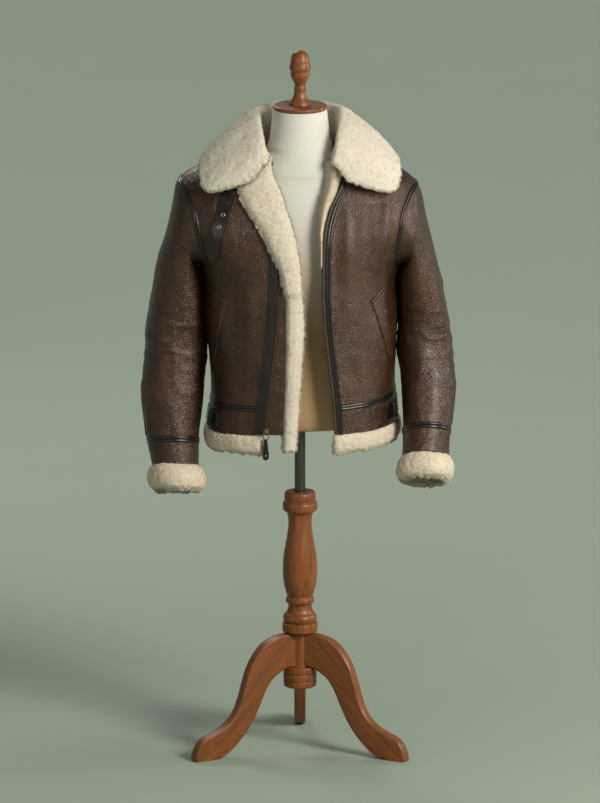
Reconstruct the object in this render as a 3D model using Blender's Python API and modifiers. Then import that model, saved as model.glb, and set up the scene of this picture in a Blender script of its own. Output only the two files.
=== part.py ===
"""Shearling flight jacket, worn open on a limbless dress form with a turned tripod stand.

Metres, +Z up, the jacket's front faces -Y. "Right" and "left" are the wearer's: right is at -X.
Everything is laid out round the stand's axis, and one empty places that axis in the part's frame.

The jacket's leather face is one surface. A point on it has an angle and a level: the angle runs
from 0 at the left side seam through 90 degrees at the front, 180 at the right side seam and 270 at
the back; the level counts the rows of BODY_ROWS, from the hem to the neck seam. Panels, tapes and
strips are stretches of that surface, so that neighbours meet at their seams with an even gap.
"""

import math

import bmesh
import bpy
import numpy as np
from mathutils import Matrix

# ---------------------------------------------------------------- driving dimensions
AXIS_X, AXIS_Y = 0.0035, -0.0409  # the stand's axis in the part's frame, whose origin is under the box's centre
GAP = 0.0003  # between pieces at a seam
HIDE = 0.008  # a shearling wall: the hide and its clipped wool
TAPE_PROUD = 0.0022  # how far the black leather tapes stand over the panels
TAPE_WIDTH = 0.011

BODY_COLUMNS = ("left_x", "right_x", "front_y", "back_y", "left_z", "front_z", "right_z", "back_z", "square")
BODY_ROWS = (
    (0.195, 0.186, 0.150, 0.140, 0.684, 0.676, 0.668, 0.672, 2.50),  # hem, under the waistband
    (0.190, 0.178, 0.150, 0.138, 0.742, 0.731, 0.722, 0.730, 2.50),  # waist seam
    (0.191, 0.180, 0.150, 0.134, 0.808, 0.805, 0.795, 0.800, 2.40),  # waist
    (0.196, 0.190, 0.148, 0.136, 0.897, 0.895, 0.890, 0.893, 2.35),  # ribs
    (0.198, 0.197, 0.144, 0.142, 0.985, 0.985, 0.985, 0.990, 2.30),  # armpits
    (0.258, 0.262, 0.134, 0.140, 1.105, 1.070, 1.108, 1.085, 2.20),  # bust, across the armholes
    (0.228, 0.236, 0.116, 0.122, 1.166, 1.125, 1.174, 1.145, 2.10),  # shoulder points
    (0.165, 0.168, 0.100, 0.106, 1.208, 1.172, 1.210, 1.200, 2.00),  # shoulders
    (0.086, 0.086, 0.094, 0.082, 1.238, 1.212, 1.238, 1.244, 2.00),  # neck seam
)
HEM, WAIST_SEAM, ARMPIT, BUST, SHOULDER_POINT, NECK = 0, 1, 4, 5, 6, 8
LEFT_SIDE, FRONT, RIGHT_SIDE, BACK = 0.0, 90.0, 180.0, 270.0

# Where each front edge runs: the zip's line, as a distance from the middle, level by level.
LEFT_ZIP_X = (0.0716, 0.0680, 0.0604, 0.0505, 0.0470, 0.0495, 0.0620, 0.0850, 0.0610)
RIGHT_ZIP_X = (0.0695, 0.0635, 0.0555, 0.0455, 0.0400, 0.0385, 0.0450, 0.0560, 0.0580)
ZIP_WIDTH = 0.006
LEFT_PLACKET, RIGHT_PLACKET = 0.0115, 0.0210  # the black leather strips beside the zips
FLAP_X = (-0.0350, -0.0335, -0.0310, -0.0303, -0.0322, -0.0330)  # the wind flap's inner edge, hem to bust
FLAP_TOP = 4.3  # the level where the wind flap ends, under the lapel

# Armholes, as ellipses of angle and level.
ARMHOLE_MID, ARMHOLE_RISE = 5.0, 1.0
ARMHOLE_FRONT, ARMHOLE_BACK = 42.0, 44.0  # degrees from the side seam
ARMHOLE_POINTS = 20

FOLD_COLUMNS = ("angle", "level", "half_angle", "half_level", "lean", "height")
FOLDS = (
    (56.0, 4.9, 9.0, 1.4, 4.0, 0.0035),
    (38.0, 2.6, 9.0, 1.3, -5.0, 0.0035),
    (64.0, 2.2, 6.0, 1.0, 3.0, -0.0025),
    (124.0, 4.8, 9.0, 1.3, -5.0, 0.0035),
    (140.0, 2.7, 9.0, 1.4, 6.0, 0.0040),
    (120.0, 2.1, 6.0, 1.0, -3.0, -0.0025),
    (222.0, 3.6, 9.0, 1.7, 5.0, 0.0045),
    (252.0, 2.4, 8.0, 1.1, -4.0, 0.0030),
    (288.0, 2.6, 8.0, 1.2, 5.0, 0.0035),
    (318.0, 3.5, 9.0, 1.6, -5.0, 0.0045),
    (236.0, 5.6, 8.0, 1.0, -8.0, -0.0030),
    (304.0, 5.6, 8.0, 1.0, 8.0, -0.0030),
)

# Strips along the front edges: (level, outer x, inner x, underside, fur face), the last two out from
# the leather face. The right one turns over into the lapel above the wind flap.
LAPEL = (
    (0.05, -0.0345, -0.0080, -0.0080, 0.0050),
    (0.71, -0.0330, -0.0040, -0.0080, 0.0055),
    (1.69, -0.0308, 0.0010, -0.0080, 0.0060),
    (2.53, -0.0292, 0.0050, -0.0080, 0.0060),
    (3.09, -0.0285, 0.0060, -0.0080, 0.0065),
    (3.60, -0.0290, 0.0050, -0.0060, 0.0085),
    (3.83, -0.0310, 0.0030, 0.0035, 0.0150),
    (4.19, -0.0380, 0.0010, 0.0040, 0.0170),
    (4.74, -0.0580, -0.0050, 0.0040, 0.0180),
    (5.33, -0.0830, -0.0150, 0.0040, 0.0180),
    (5.97, -0.1080, -0.0270, 0.0040, 0.0180),
    (6.50, -0.1230, -0.0350, 0.0040, 0.0170),
    (6.90, -0.1120, -0.0430, 0.0035, 0.0160),
    (7.15, -0.0960, -0.0500, 0.0030, 0.0140),
    (7.45, -0.0820, -0.0580, 0.0025, 0.0110),
)
LAPEL_DROP = (0.034, 0.017)  # how far the wool hangs below the wind flap, row by row
FACING = (
    (4.35, 0.0440, 0.0420, -0.0080, 0.0000),
    (4.78, 0.0450, 0.0400, -0.0090, 0.0030),
    (5.20, 0.0465, 0.0380, -0.0100, 0.0045),
    (5.50, 0.0495, 0.0385, -0.0100, 0.0060),
    (6.00, 0.0575, 0.0410, -0.0100, 0.0080),
    (6.50, 0.0700, 0.0460, -0.0100, 0.0090),
    (6.95, 0.0795, 0.0515, -0.0100, 0.0100),
    (7.25, 0.0770, 0.0560, -0.0100, 0.0100),
)

# The collar, from its front end round to the middle of the back: the neck seam's angle, then the
# roll and the outer edge as distances (side, forward, up), and how far the fall swells.
COLLAR_COLUMNS = ("seam", "roll_x", "roll_y", "roll_z", "edge_x", "edge_y", "edge_z", "swell")
COLLAR = (
    (43.0, 0.0650, -0.0980, 1.2260, 0.0985, -0.1120, 1.1920, 0.003),
    (30.0, 0.0730, -0.0860, 1.2480, 0.1480, -0.1080, 1.1750, 0.006),
    (17.0, 0.0780, -0.0600, 1.2700, 0.1900, -0.0930, 1.1680, 0.009),
    (5.0, 0.0810, -0.0280, 1.2870, 0.2010, -0.0450, 1.1990, 0.010),
    (-9.0, 0.0830, 0.0020, 1.2970, 0.1950, 0.0150, 1.2120, 0.011),
    (-35.0, 0.0790, 0.0520, 1.3040, 0.1680, 0.0850, 1.2030, 0.013),
    (-62.0, 0.0490, 0.0880, 1.3050, 0.1000, 0.1360, 1.1850, 0.014),
    (-90.0, 0.0000, 0.1000, 1.3050, 0.0000, 0.1560, 1.1780, 0.014),
)
# Out of the fur face, row by row from the neck seam to the edge: (outward, up) shares, thickness.
COLLAR_ROWS = (
    (-1.00, 0.00, 0.0090),
    (-0.80, 0.60, 0.0110),
    (-0.10, 1.00, 0.0130),
    (0.40, 0.92, 0.0140),
    (0.50, 0.87, 0.0140),
    (0.55, 0.84, 0.0110),
)

# Sleeves, ring by ring: the outer and inner sides as distances from the middle and heights, the
# ring's middle and half depth from front to back, and how far it leans forward, in degrees.
SLEEVE_COLUMNS = ("outer_x", "outer_z", "inner_x", "inner_z", "mid_y", "half_y", "lean")
LEFT_SLEEVE = (
    (0.2290, 1.157, 0.2005, 0.9975, 0.000, 0.084, 0),  # armhole
    (0.2400, 1.134, 0.2040, 0.9985, 0.000, 0.083, 0),
    (0.2510, 1.098, 0.2050, 0.9945, 0.000, 0.080, 2),
    (0.2620, 1.056, 0.2045, 0.9870, 0.000, 0.077, 4),
    (0.2730, 1.010, 0.2030, 0.9740, 0.001, 0.074, 5),
    (0.2830, 0.965, 0.2010, 0.9510, 0.003, 0.072, 4),
    (0.2910, 0.920, 0.1990, 0.9150, 0.005, 0.070, 2),
    (0.2985, 0.875, 0.1972, 0.8720, 0.006, 0.067, 6),
    (0.3045, 0.825, 0.1962, 0.8230, 0.001, 0.064, 16),
    (0.3090, 0.770, 0.2010, 0.7690, -0.020, 0.061, 24),
    (0.3090, 0.720, 0.2035, 0.7200, -0.047, 0.057, 26),
    (0.3010, 0.675, 0.2050, 0.6750, -0.073, 0.052, 26),  # cuff seam
    (0.2970, 0.622, 0.2040, 0.6220, -0.097, 0.049, 26),  # cuff's lower edge
)
RIGHT_SLEEVE = (
    (0.2350, 1.163, 0.2005, 0.9975, 0.000, 0.084, 0),
    (0.2460, 1.140, 0.2040, 0.9985, 0.000, 0.083, 0),
    (0.2580, 1.102, 0.2050, 0.9945, 0.000, 0.080, 2),
    (0.2700, 1.056, 0.2040, 0.9870, 0.000, 0.077, 4),
    (0.2830, 1.010, 0.2020, 0.9740, 0.001, 0.074, 5),
    (0.2920, 0.965, 0.1990, 0.9510, 0.003, 0.072, 4),
    (0.3000, 0.920, 0.1945, 0.9150, 0.005, 0.070, 2),
    (0.3070, 0.870, 0.1890, 0.8680, 0.006, 0.068, 4),
    (0.3105, 0.820, 0.1870, 0.8180, 0.003, 0.066, 10),
    (0.3135, 0.765, 0.1905, 0.7640, -0.010, 0.064, 16),
    (0.3140, 0.705, 0.1965, 0.7050, -0.027, 0.061, 17),
    (0.3060, 0.648, 0.2020, 0.6480, -0.046, 0.054, 17),
    (0.2960, 0.596, 0.2020, 0.5960, -0.063, 0.049, 17),
)
CUFF_SEAM, CUFF_EDGE = 11, 12
CUFF_FUR = ((0.002, 0.0), (0.20, 0.007), (0.55, 0.011), (0.85, 0.008), (1.0, 0.001))  # (share of length, out)
CUFF_FUR_LENGTH, CUFF_FUR_THICK = 0.049, 0.012
SLEEVE_FOLDS = (
    (40.0, 6.2, 22.0, 2.2, 10.0, 0.0045),
    (352.0, 8.3, 20.0, 1.5, -14.0, 0.0040),
    (70.0, 9.4, 18.0, 1.3, 12.0, 0.0035),
    (130.0, 7.6, 24.0, 2.0, -10.0, 0.0045),
    (205.0, 6.8, 22.0, 2.2, 12.0, 0.0045),
    (20.0, 3.0, 16.0, 1.6, 8.0, -0.0030),
    (160.0, 3.2, 16.0, 1.6, -8.0, -0.0030),
)

# The stand: heights from the floor, turned profiles as (height, radius) from the top down.
FINIAL = (
    (1.4295, 0.0), (1.4285, 0.0080), (1.4254, 0.0130), (1.4190, 0.0168), (1.4100, 0.0190), (1.4015, 0.0192),
    (1.3995, 0.0208), (1.3945, 0.0213), (1.3895, 0.0204), (1.3880, 0.0185), (1.3800, 0.0192), (1.3745, 0.0176),
    (1.3680, 0.0146), (1.3600, 0.0102), (1.3570, 0.0104), (1.3550, 0.0120), (1.3500, 0.0120), (1.3470, 0.0112),
    (1.3390, 0.0124), (1.3320, 0.0152), (1.3250, 0.0202), (1.3193, 0.0228), (1.3193, 0.0),
)
NECK_CAP = (
    (1.3190, 0.0), (1.3190, 0.0500), (1.3182, 0.0526), (1.3165, 0.0536), (1.3130, 0.0536), (1.3113, 0.0526),
    (1.3108, 0.0505), (1.3108, 0.0),
)
POLE_RADIUS, POLE_BOTTOM, SOCKET_TOP = 0.0110, 0.355, 0.702
BORE_RADIUS, BORE_BOTTOM = 0.0113, 0.236
CORE_RADIUS = 0.0205
COLUMN = (
    (0.5280, BORE_RADIUS), (0.5280, 0.0285), (0.5240, 0.0312), (0.5140, 0.0318), (0.5083, 0.0300), (0.5062, 0.0340),
    (0.4980, 0.0355), (0.4890, 0.0335), (0.4866, 0.0275), (0.4780, 0.0240), (0.4600, 0.0231), (0.4420, 0.0250),
    (0.4178, 0.0295), (0.3950, 0.0334), (0.3680, 0.0351), (0.3450, 0.0338), (0.3250, 0.0296), (0.3110, 0.0250),
    (0.3080, 0.0285), (0.3000, 0.0285), (0.2975, 0.0238), (0.2920, 0.0230), (0.2800, 0.0262), (0.2750, 0.0325),
    (0.2670, 0.0345), (0.2608, 0.0320), (0.2592, 0.0300), (0.2582, 0.0355), (0.2405, 0.0355), (0.2400, CORE_RADIUS),
    (0.1690, CORE_RADIUS), (0.1690, 0.0318), (0.1665, 0.0335), (0.1560, 0.0335), (0.1547, 0.0312), (0.1534, 0.0335),
    (0.1410, 0.0335), (0.1396, 0.0312), (0.1384, 0.0335), (0.1285, 0.0328), (0.1256, 0.0290), (0.1256, 0.0),
)
# A leg's outline seen from its side: (distance from the axis, height), over the top and back underneath.
LEG_TOP = (
    (0.0120, 0.2390), (0.0554, 0.2370), (0.0855, 0.2243), (0.1062, 0.2022), (0.1212, 0.1773), (0.1319, 0.1443),
    (0.1400, 0.1160), (0.1533, 0.0860), (0.1746, 0.0656), (0.2002, 0.0534), (0.2259, 0.0449), (0.2388, 0.0314),
    (0.2471, 0.0095), (0.2460, 0.0),
)
LEG_UNDER = (
    (0.1875, 0.0), (0.1619, 0.0149), (0.1363, 0.0386), (0.1148, 0.0663), (0.0977, 0.0987), (0.0850, 0.1276),
    (0.0679, 0.1519), (0.0464, 0.1640), (0.0350, 0.1695), (0.0120, 0.1700),
)
LEG_THICK, COLUMN_STEPS = 0.023, 16
LEG_TURNS = (-30.0, 90.0, 210.0)  # degrees from +X, seen from above
FORM_ROWS = (  # the dress form below the shoulders, in BODY_COLUMNS
    (0.148, 0.148, 0.097, 0.092, 0.672, 0.672, 0.672, 0.672, 2.20),
    (0.155, 0.155, 0.104, 0.100, 0.680, 0.680, 0.680, 0.680, 2.20),
    (0.158, 0.158, 0.108, 0.106, 0.705, 0.705, 0.705, 0.705, 2.20),
    (0.148, 0.148, 0.104, 0.098, 0.780, 0.780, 0.780, 0.780, 2.15),
    (0.142, 0.142, 0.102, 0.090, 0.850, 0.850, 0.850, 0.850, 2.10),
    (0.152, 0.152, 0.108, 0.100, 0.930, 0.930, 0.930, 0.930, 2.10),
    (0.166, 0.166, 0.114, 0.112, 1.010, 1.010, 1.010, 1.010, 2.10),
    (0.174, 0.174, 0.110, 0.112, 1.075, 1.060, 1.075, 1.066, 2.05),
    (0.182, 0.182, 0.100, 0.104, 1.128, 1.100, 1.128, 1.112, 2.00),
)
FORM_REST = 0.0096  # from the jacket's leather face down to the form, where it rests

MATERIALS = {
    "brown_leather": ((0.075, 0.036, 0.022), 0.42, 0.0),
    "wool": ((0.72, 0.60, 0.44), 0.95, 0.0),
    "black_leather": ((0.012, 0.011, 0.011), 0.35, 0.0),
    "zip_tape": ((0.016, 0.012, 0.010), 0.80, 0.0),
    "brass": ((0.62, 0.45, 0.22), 0.30, 1.0),
    "nickel": ((0.62, 0.60, 0.56), 0.28, 1.0),
    "linen": ((0.80, 0.75, 0.66), 0.90, 0.0),
    "wood": ((0.24, 0.095, 0.030), 0.38, 0.0),
    "chrome": ((0.72, 0.71, 0.69), 0.12, 1.0),
}


# ---------------------------------------------------------------- curves and surfaces
def spline(table, at):
    """Row values between the rows of a table, on a Catmull-Rom curve through them."""
    rows = np.asarray(table, float)
    at = np.clip(np.asarray(at, float), 0, len(rows) - 1)
    low = np.minimum(at.astype(int), len(rows) - 2)
    share = at - low
    if rows.ndim > 1:
        share = share[..., None]
    before = rows[np.maximum(low - 1, 0)]
    start, end = rows[low], rows[low + 1]
    after = rows[np.minimum(low + 2, len(rows) - 1)]
    slope_start, slope_end = (end - before) / 2, (after - start) / 2
    cube, square = share**3, share**2
    return (
        (2 * cube - 3 * square + 1) * start
        + (cube - 2 * square + share) * slope_start
        + (3 * square - 2 * cube) * end
        + (cube - square) * slope_end
    )


def unit(vectors):
    vectors = np.asarray(vectors, float)
    return vectors / np.maximum(np.linalg.norm(vectors, axis=-1, keepdims=True), 1e-12)


def smooth(value):
    value = np.clip(value, 0, 1)
    return value * value * (3 - 2 * value)


def body_point(angle, level, rows=BODY_ROWS):
    """The plain body surface, with no folds, at an angle in degrees and a level."""
    angle, level = np.broadcast_arrays(np.radians(angle), np.asarray(level, float))
    row = dict(zip(BODY_COLUMNS, np.moveaxis(spline(rows, level), -1, 0)))
    cos, sin = np.cos(angle), np.sin(angle)
    power = 2 / row["square"]
    side_x = np.where(cos > 0, row["left_x"], row["right_x"])
    side_z = np.where(cos > 0, row["left_z"], row["right_z"])
    depth = np.where(sin > 0, row["front_y"], row["back_y"])
    middle_z = np.where(sin > 0, row["front_z"], row["back_z"])
    x = side_x * np.sign(cos) * np.abs(cos) ** power
    y = -depth * np.sign(sin) * np.abs(sin) ** power
    z = side_z * cos**2 + middle_z * sin**2
    return np.stack([x, y, z], -1)


def body_normal(angle, level):
    """Out of the body surface, from its own slopes."""
    step_angle, step_level = 0.5, 0.02
    level = np.clip(level, step_level, NECK - step_level)
    around = body_point(angle + step_angle, level) - body_point(angle - step_angle, level)
    up = body_point(angle, level + step_level) - body_point(angle, level - step_level)
    return unit(np.cross(up, around))


def fold_height(angle, level):
    """The soft folds: long low ridges and troughs that lean as they rise."""
    total = np.zeros(np.broadcast(angle, level).shape)
    for values in FOLDS:
        fold = dict(zip(FOLD_COLUMNS, values))
        along = (np.asarray(level) - fold["level"]) / fold["half_level"]
        across = (np.asarray(angle) - fold["angle"] - fold["lean"] * along) / fold["half_angle"]
        total = total + fold["height"] * np.exp(-(across**2)) * smooth(1 - np.abs(along))
    return total


def on_coat(angle, level, out=0.0):
    """A point on the jacket's leather face, or out from it."""
    height = fold_height(angle, level) + out
    return body_point(angle, level) + body_normal(angle, level) * np.asarray(height)[..., None]


def in_coat(angle, level, depth=HIDE):
    """A point on the wool side, which lies plain under the folds."""
    depth = np.broadcast_to(depth, np.broadcast(angle, level).shape)
    return body_point(angle, level) - body_normal(angle, level) * depth[..., None]


def angle_at(level, x):
    """The front angle where a level crosses a distance x from the middle."""
    row = dict(zip(BODY_COLUMNS, np.moveaxis(spline(BODY_ROWS, level), -1, 0)))
    x = np.asarray(x, float)
    half = np.where(x > 0, row["left_x"], row["right_x"])
    share = np.clip(np.abs(x) / half, 0, 1) ** (row["square"] / 2)
    return np.where(x > 0, np.degrees(np.arccos(share)), 180 - np.degrees(np.arccos(share)))


# ---------------------------------------------------------------- Blender objects
def clear_scene():
    for obj in list(bpy.data.objects):
        bpy.data.objects.remove(obj, do_unlink=True)


def material(name):
    found = bpy.data.materials.get(name)
    if found:
        return found
    colour, roughness, metallic = MATERIALS[name]
    made = bpy.data.materials.new(name)
    made.use_nodes = True
    shader = made.node_tree.nodes["Principled BSDF"]
    shader.inputs["Base Color"].default_value = (*colour, 1)
    shader.inputs["Roughness"].default_value = roughness
    shader.inputs["Metallic"].default_value = metallic
    return made


def add(name, data, material_name=None):
    """An object in the jacket's collection, on the stand's axis."""
    obj = bpy.data.objects.new(name, data)
    bpy.data.collections["shearling_jacket_on_form"].objects.link(obj)
    obj.parent = bpy.data.objects["stand_axis"]
    if material_name:
        data.materials.append(material(material_name))
    return obj


def add_mesh(name, points, faces, material_name, smooth_angle=40):
    mesh = bpy.data.meshes.new(name)
    mesh.from_pydata([tuple(p) for p in np.reshape(points, (-1, 3))], [], faces)
    mesh.validate()
    mesh.shade_smooth()
    mesh.set_sharp_from_angle(angle=math.radians(smooth_angle))
    return add(name, mesh, material_name)


def rim_faces(points, corners, turn):
    """A rim's four corners as two triangles over the shorter diagonal, so that rims at a seam match."""
    a, b, c, d = corners
    if np.linalg.norm(points[a] - points[c]) < np.linalg.norm(points[b] - points[d]):
        halves = ((a, b, c), (a, c, d))
    else:
        halves = ((a, b, d), (b, c, d))
    return [half[::turn] for half in halves]


def wall(name, outer, inner, material_name, ring=False):
    """A closed wall between an outer and an inner grid of points. With ring, its columns run round."""
    outer, inner = np.asarray(outer), np.asarray(inner)
    rows, columns = outer.shape[:2]
    count = rows * columns
    faces = []
    wraps = columns if ring else columns - 1
    for i in range(rows - 1):
        for j in range(wraps):
            a, b = i * columns + j, i * columns + (j + 1) % columns
            c, d = b + columns, a + columns
            faces += [(a, b, c, d), (count + d, count + c, count + b, count + a)]
    points = np.concatenate([outer.reshape(-1, 3), inner.reshape(-1, 3)])
    for j in range(wraps):
        for row, turn in ((0, 1), (rows - 1, -1)):
            a, b = row * columns + j, row * columns + (j + 1) % columns
            faces += rim_faces(points, (a, count + a, count + b, b), turn)
    for i in range(0 if ring else rows - 1):
        for column, turn in ((0, -1), (columns - 1, 1)):
            a = i * columns + column
            faces += rim_faces(points, (a, count + a, count + a + columns, a + columns), turn)
    return face_out(add_mesh(name, points, faces, material_name))


def tube(name, rings, material_name, loop=False, smooth_angle=40):
    """A closed tube through rings of points, with flat ends, or joined end to end as a loop."""
    rings = np.asarray(rings)
    count, sides = rings.shape[:2]
    faces = []
    for i in range(count if loop else count - 1):
        for j in range(sides):
            a, b = i * sides + j, i * sides + (j + 1) % sides
            c, d = ((i + 1) % count) * sides + (j + 1) % sides, ((i + 1) % count) * sides + j
            faces.append((a, b, c, d))
    if not loop:
        faces += [tuple(reversed(range(sides))), tuple(range((count - 1) * sides, count * sides))]
    return face_out(add_mesh(name, rings, faces, material_name, smooth_angle))


def face_out(obj):
    """Turns the faces of a closed mesh outwards, by the sign of its volume."""
    volume = 0.0
    for face in obj.data.polygons:
        corners = [obj.data.vertices[i].co for i in face.vertices]
        for second, third in zip(corners[1:], corners[2:]):
            volume += corners[0].dot(second.cross(third))
    if volume < 0:
        obj.data.flip_normals()
    return obj


def turned(name, profile, material_name, steps):
    """A lathe-turned solid: (height, radius) points from the top down, turned by a Screw."""
    mesh = bpy.data.meshes.new(name)
    points = [(radius, 0, height) for height, radius in profile]
    mesh.from_pydata(points, [(i, i + 1) for i in range(len(points) - 1)], [])
    obj = add(name, mesh, material_name)
    screw = obj.modifiers.new("turn", "SCREW")
    screw.steps = screw.render_steps = steps
    screw.use_merge_vertices = True
    screw.merge_threshold = 0.00005
    screw.use_smooth_shade = True
    return obj


def round_bar(name, low_radius, high_radius, length, sides, material_name):
    """A cylinder or a cone's frustum along its own Z, about its middle."""
    bm = bmesh.new()
    bmesh.ops.create_cone(bm, cap_ends=True, segments=sides, radius1=low_radius, radius2=high_radius, depth=length)
    mesh = bpy.data.meshes.new(name)
    bm.to_mesh(mesh)
    bm.free()
    mesh.shade_smooth()
    mesh.set_sharp_from_angle(angle=math.radians(40))
    return add(name, mesh, material_name)


def flat_board(name, outline, thick):
    """The mesh of a flat outline in its own XY plane, extruded to a thickness about it."""
    curve = bpy.data.curves.new(name, "CURVE")
    curve.dimensions, curve.fill_mode, curve.extrude = "2D", "BOTH", thick / 2
    line = curve.splines.new("POLY")
    line.points.add(len(outline) - 1)
    line.use_cyclic_u = True
    for point, (x, y) in zip(line.points, outline):
        point.co = (x, y, 0, 1)
    obj = bpy.data.objects.new(name, curve)
    bpy.context.scene.collection.objects.link(obj)
    mesh = bpy.data.meshes.new_from_object(obj.evaluated_get(bpy.context.evaluated_depsgraph_get()))
    bpy.data.objects.remove(obj)
    bm = bmesh.new()
    bm.from_mesh(mesh)
    bmesh.ops.remove_doubles(bm, verts=bm.verts, dist=0.00005)
    bmesh.ops.recalc_face_normals(bm, faces=bm.faces)
    bm.to_mesh(mesh)
    bm.free()
    mesh.shade_smooth()
    mesh.set_sharp_from_angle(angle=math.radians(50))
    return mesh


def wire_loop(name, path, radius, material_name):
    """A wire bent into a closed loop."""
    curve = bpy.data.curves.new(name, "CURVE")
    curve.dimensions, curve.bevel_depth, curve.bevel_resolution = "3D", radius, 1
    line = curve.splines.new("POLY")
    line.points.add(len(path) - 1)
    line.use_cyclic_u = True
    for point, place in zip(line.points, path):
        point.co = (*place, 1)
    return add(name, curve, material_name)


def seat_on_coat(obj, angle, level, out):
    """Sets a hard piece on the jacket's face: its X across, its Y up and its Z out."""
    normal = body_normal(angle, level)
    across = unit(np.cross((0, 0, 1), normal))
    height = float(fold_height(angle, level)) + out
    obj.location = body_point(angle, level) + normal * height
    obj.rotation_euler = Matrix((across, np.cross(normal, across), normal)).transposed().to_euler()


# ---------------------------------------------------------------- panels
def gap_angle(angle, level, distance=GAP / 2):
    """A distance along a level, as degrees."""
    step = 0.5
    reach = np.linalg.norm(body_point(angle + step, level) - body_point(angle - step, level), axis=-1)
    return 2 * step * distance / reach


def armhole(side, turn, inset=0.0):
    """(angle, level) on an armhole, at a turn in degrees: 0 front, 90 top, 180 back, 270 underarm.
    inset shrinks the hole, in metres."""
    turn = np.radians(turn)
    cos, sin = np.cos(turn), np.sin(turn)
    reach = np.where(cos > 0, ARMHOLE_FRONT, ARMHOLE_BACK) - inset / 0.00355
    rise = np.where(sin > 0, ARMHOLE_RISE - inset / 0.070, ARMHOLE_RISE - inset / 0.115)
    offset = reach * np.sign(cos) * np.abs(cos) ** 0.95
    angle = offset if side > 0 else 180 - offset
    return angle, ARMHOLE_MID + rise * sin


PANEL_LEVELS = np.concatenate(
    [np.linspace(WAIST_SEAM, 3.75, 7), ARMHOLE_MID - np.cos(np.linspace(0, math.pi, ARMHOLE_POINTS // 2 + 1)), [6.5, 7.0, 7.5, NECK]]
)


def side_angle(side, level, front=True):
    """The front or back panel's side edge: the side seam, the armhole, then the shoulder seam."""
    rise = np.clip((level - ARMHOLE_MID) / ARMHOLE_RISE, -1, 1)
    reach = (ARMHOLE_FRONT if front else ARMHOLE_BACK) * np.sqrt(1 - rise**2) ** 0.95
    middle = LEFT_SIDE if side > 0 else RIGHT_SIDE
    toward = side if front else -side
    return middle + toward * (reach + gap_angle(middle, level))


def body_levels():
    """The panels' rows, from just over the waist tape to just under the neck seam."""
    levels = np.unique(np.round(PANEL_LEVELS, 9))
    levels[0] = WAIST_SEAM + TAPE_WIDTH / 2 / 0.075
    return levels


def panel(name, low_angle, high_angle, levels, columns, material_name="brown_leather", out=0.0, depth=HIDE):
    """A stretch of the jacket's wall between two edges, each given as an angle at every level."""
    share = np.linspace(0, 1, columns)
    angle = low_angle[:, None] * (1 - share) + high_angle[:, None] * share
    level = np.broadcast_to(levels[:, None], angle.shape)
    return wall(name, on_coat(angle, level, out), in_coat(angle, level, depth), material_name)


def front_levels():
    """The rows of the strips along a front edge, which share the panels' rows above the waist."""
    levels = body_levels()
    return np.concatenate([[0.03, 0.35, 0.7], levels[:-1], [NECK - 0.03]])


def placket_share(levels):
    """The placket narrows under the lapel and the collar."""
    return 1 - 0.75 * smooth((levels - 6.2) / 1.2)


def front_edge(side, levels):
    """The angle of a front panel's or band's inner edge, beside the placket."""
    zip_x, placket = (LEFT_ZIP_X, LEFT_PLACKET) if side > 0 else (RIGHT_ZIP_X, RIGHT_PLACKET)
    away = spline(zip_x, levels) + ZIP_WIDTH / 2 + placket * placket_share(levels) + GAP
    return angle_at(levels, side * away)


def strip(name, levels, low_x, high_x, columns, material_name, out, depth):
    """A strip along a front edge, between two distances from the middle at every level."""
    panel(name, angle_at(levels, low_x), angle_at(levels, high_x), levels, columns, material_name, out, depth)


def make_fronts():
    levels = body_levels()
    strips = front_levels()
    half_zip = ZIP_WIDTH / 2
    for name, side, zip_x, placket in (("left", 1, LEFT_ZIP_X, LEFT_PLACKET), ("right", -1, RIGHT_ZIP_X, RIGHT_PLACKET)):
        panel(f"front_{name}", front_edge(side, levels), side_angle(side, levels), levels, 9)
        line = spline(zip_x, strips)
        far = line + half_zip + placket * placket_share(strips)
        strip(f"placket_{name}", strips, side * (line + half_zip + GAP), side * far, 3, "black_leather", 0.0012, HIDE)
        strip(f"zip_{name}", strips, side * (line - half_zip), side * (line + half_zip), 2, "zip_tape", 0.0004, 0.003)
    flap = strips[strips < FLAP_TOP]
    line = spline(RIGHT_ZIP_X, flap) - half_zip - GAP
    strip("wind_flap", flap, -line, spline(FLAP_X, flap), 4, "brown_leather", 0.0010, 0.006)


def fur_strip(name, table, columns, rows, drops=()):
    """A roll of wool along a front edge, rounded across. It hangs past its table's first row by drops."""
    level, outer_x, inner_x, under, face = np.moveaxis(spline(table, np.linspace(0, len(table) - 1, rows)), -1, 0)
    share = np.linspace(0, 1, columns)
    angle = angle_at(level, outer_x)[:, None] * (1 - share) + angle_at(level, inner_x)[:, None] * share
    swell = 1 - np.abs(2 * share - 1) ** 3
    height = under[:, None] + 0.003 + (face - under - 0.003)[:, None] * swell
    levels = np.broadcast_to(level[:, None], angle.shape)
    normal, ground = body_normal(angle, levels), body_point(angle, levels)
    folds = fold_height(angle, levels) * (under > 0)[:, None]
    outer = ground + normal * (height + folds)[..., None]
    inner = ground + normal * (under[:, None] + folds)[..., None]
    below = [np.array((0, 0, drop)) for drop in drops]
    outer = np.concatenate([[outer[0] - drop for drop in below], outer]) if drops else outer
    inner = np.concatenate([[inner[0] - drop for drop in below], inner]) if drops else inner
    wall(name, outer, inner, "wool")


def make_fur_edges():
    fur_strip("front_edge_fur_right", LAPEL, 7, 22, LAPEL_DROP)
    fur_strip("front_edge_fur_left", FACING, 5, 9)


def make_back():
    levels = body_levels()
    low, high = side_angle(-1, levels, front=False), side_angle(1, levels, front=False) + 360
    panel("back", low, high, levels, 15)


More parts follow.
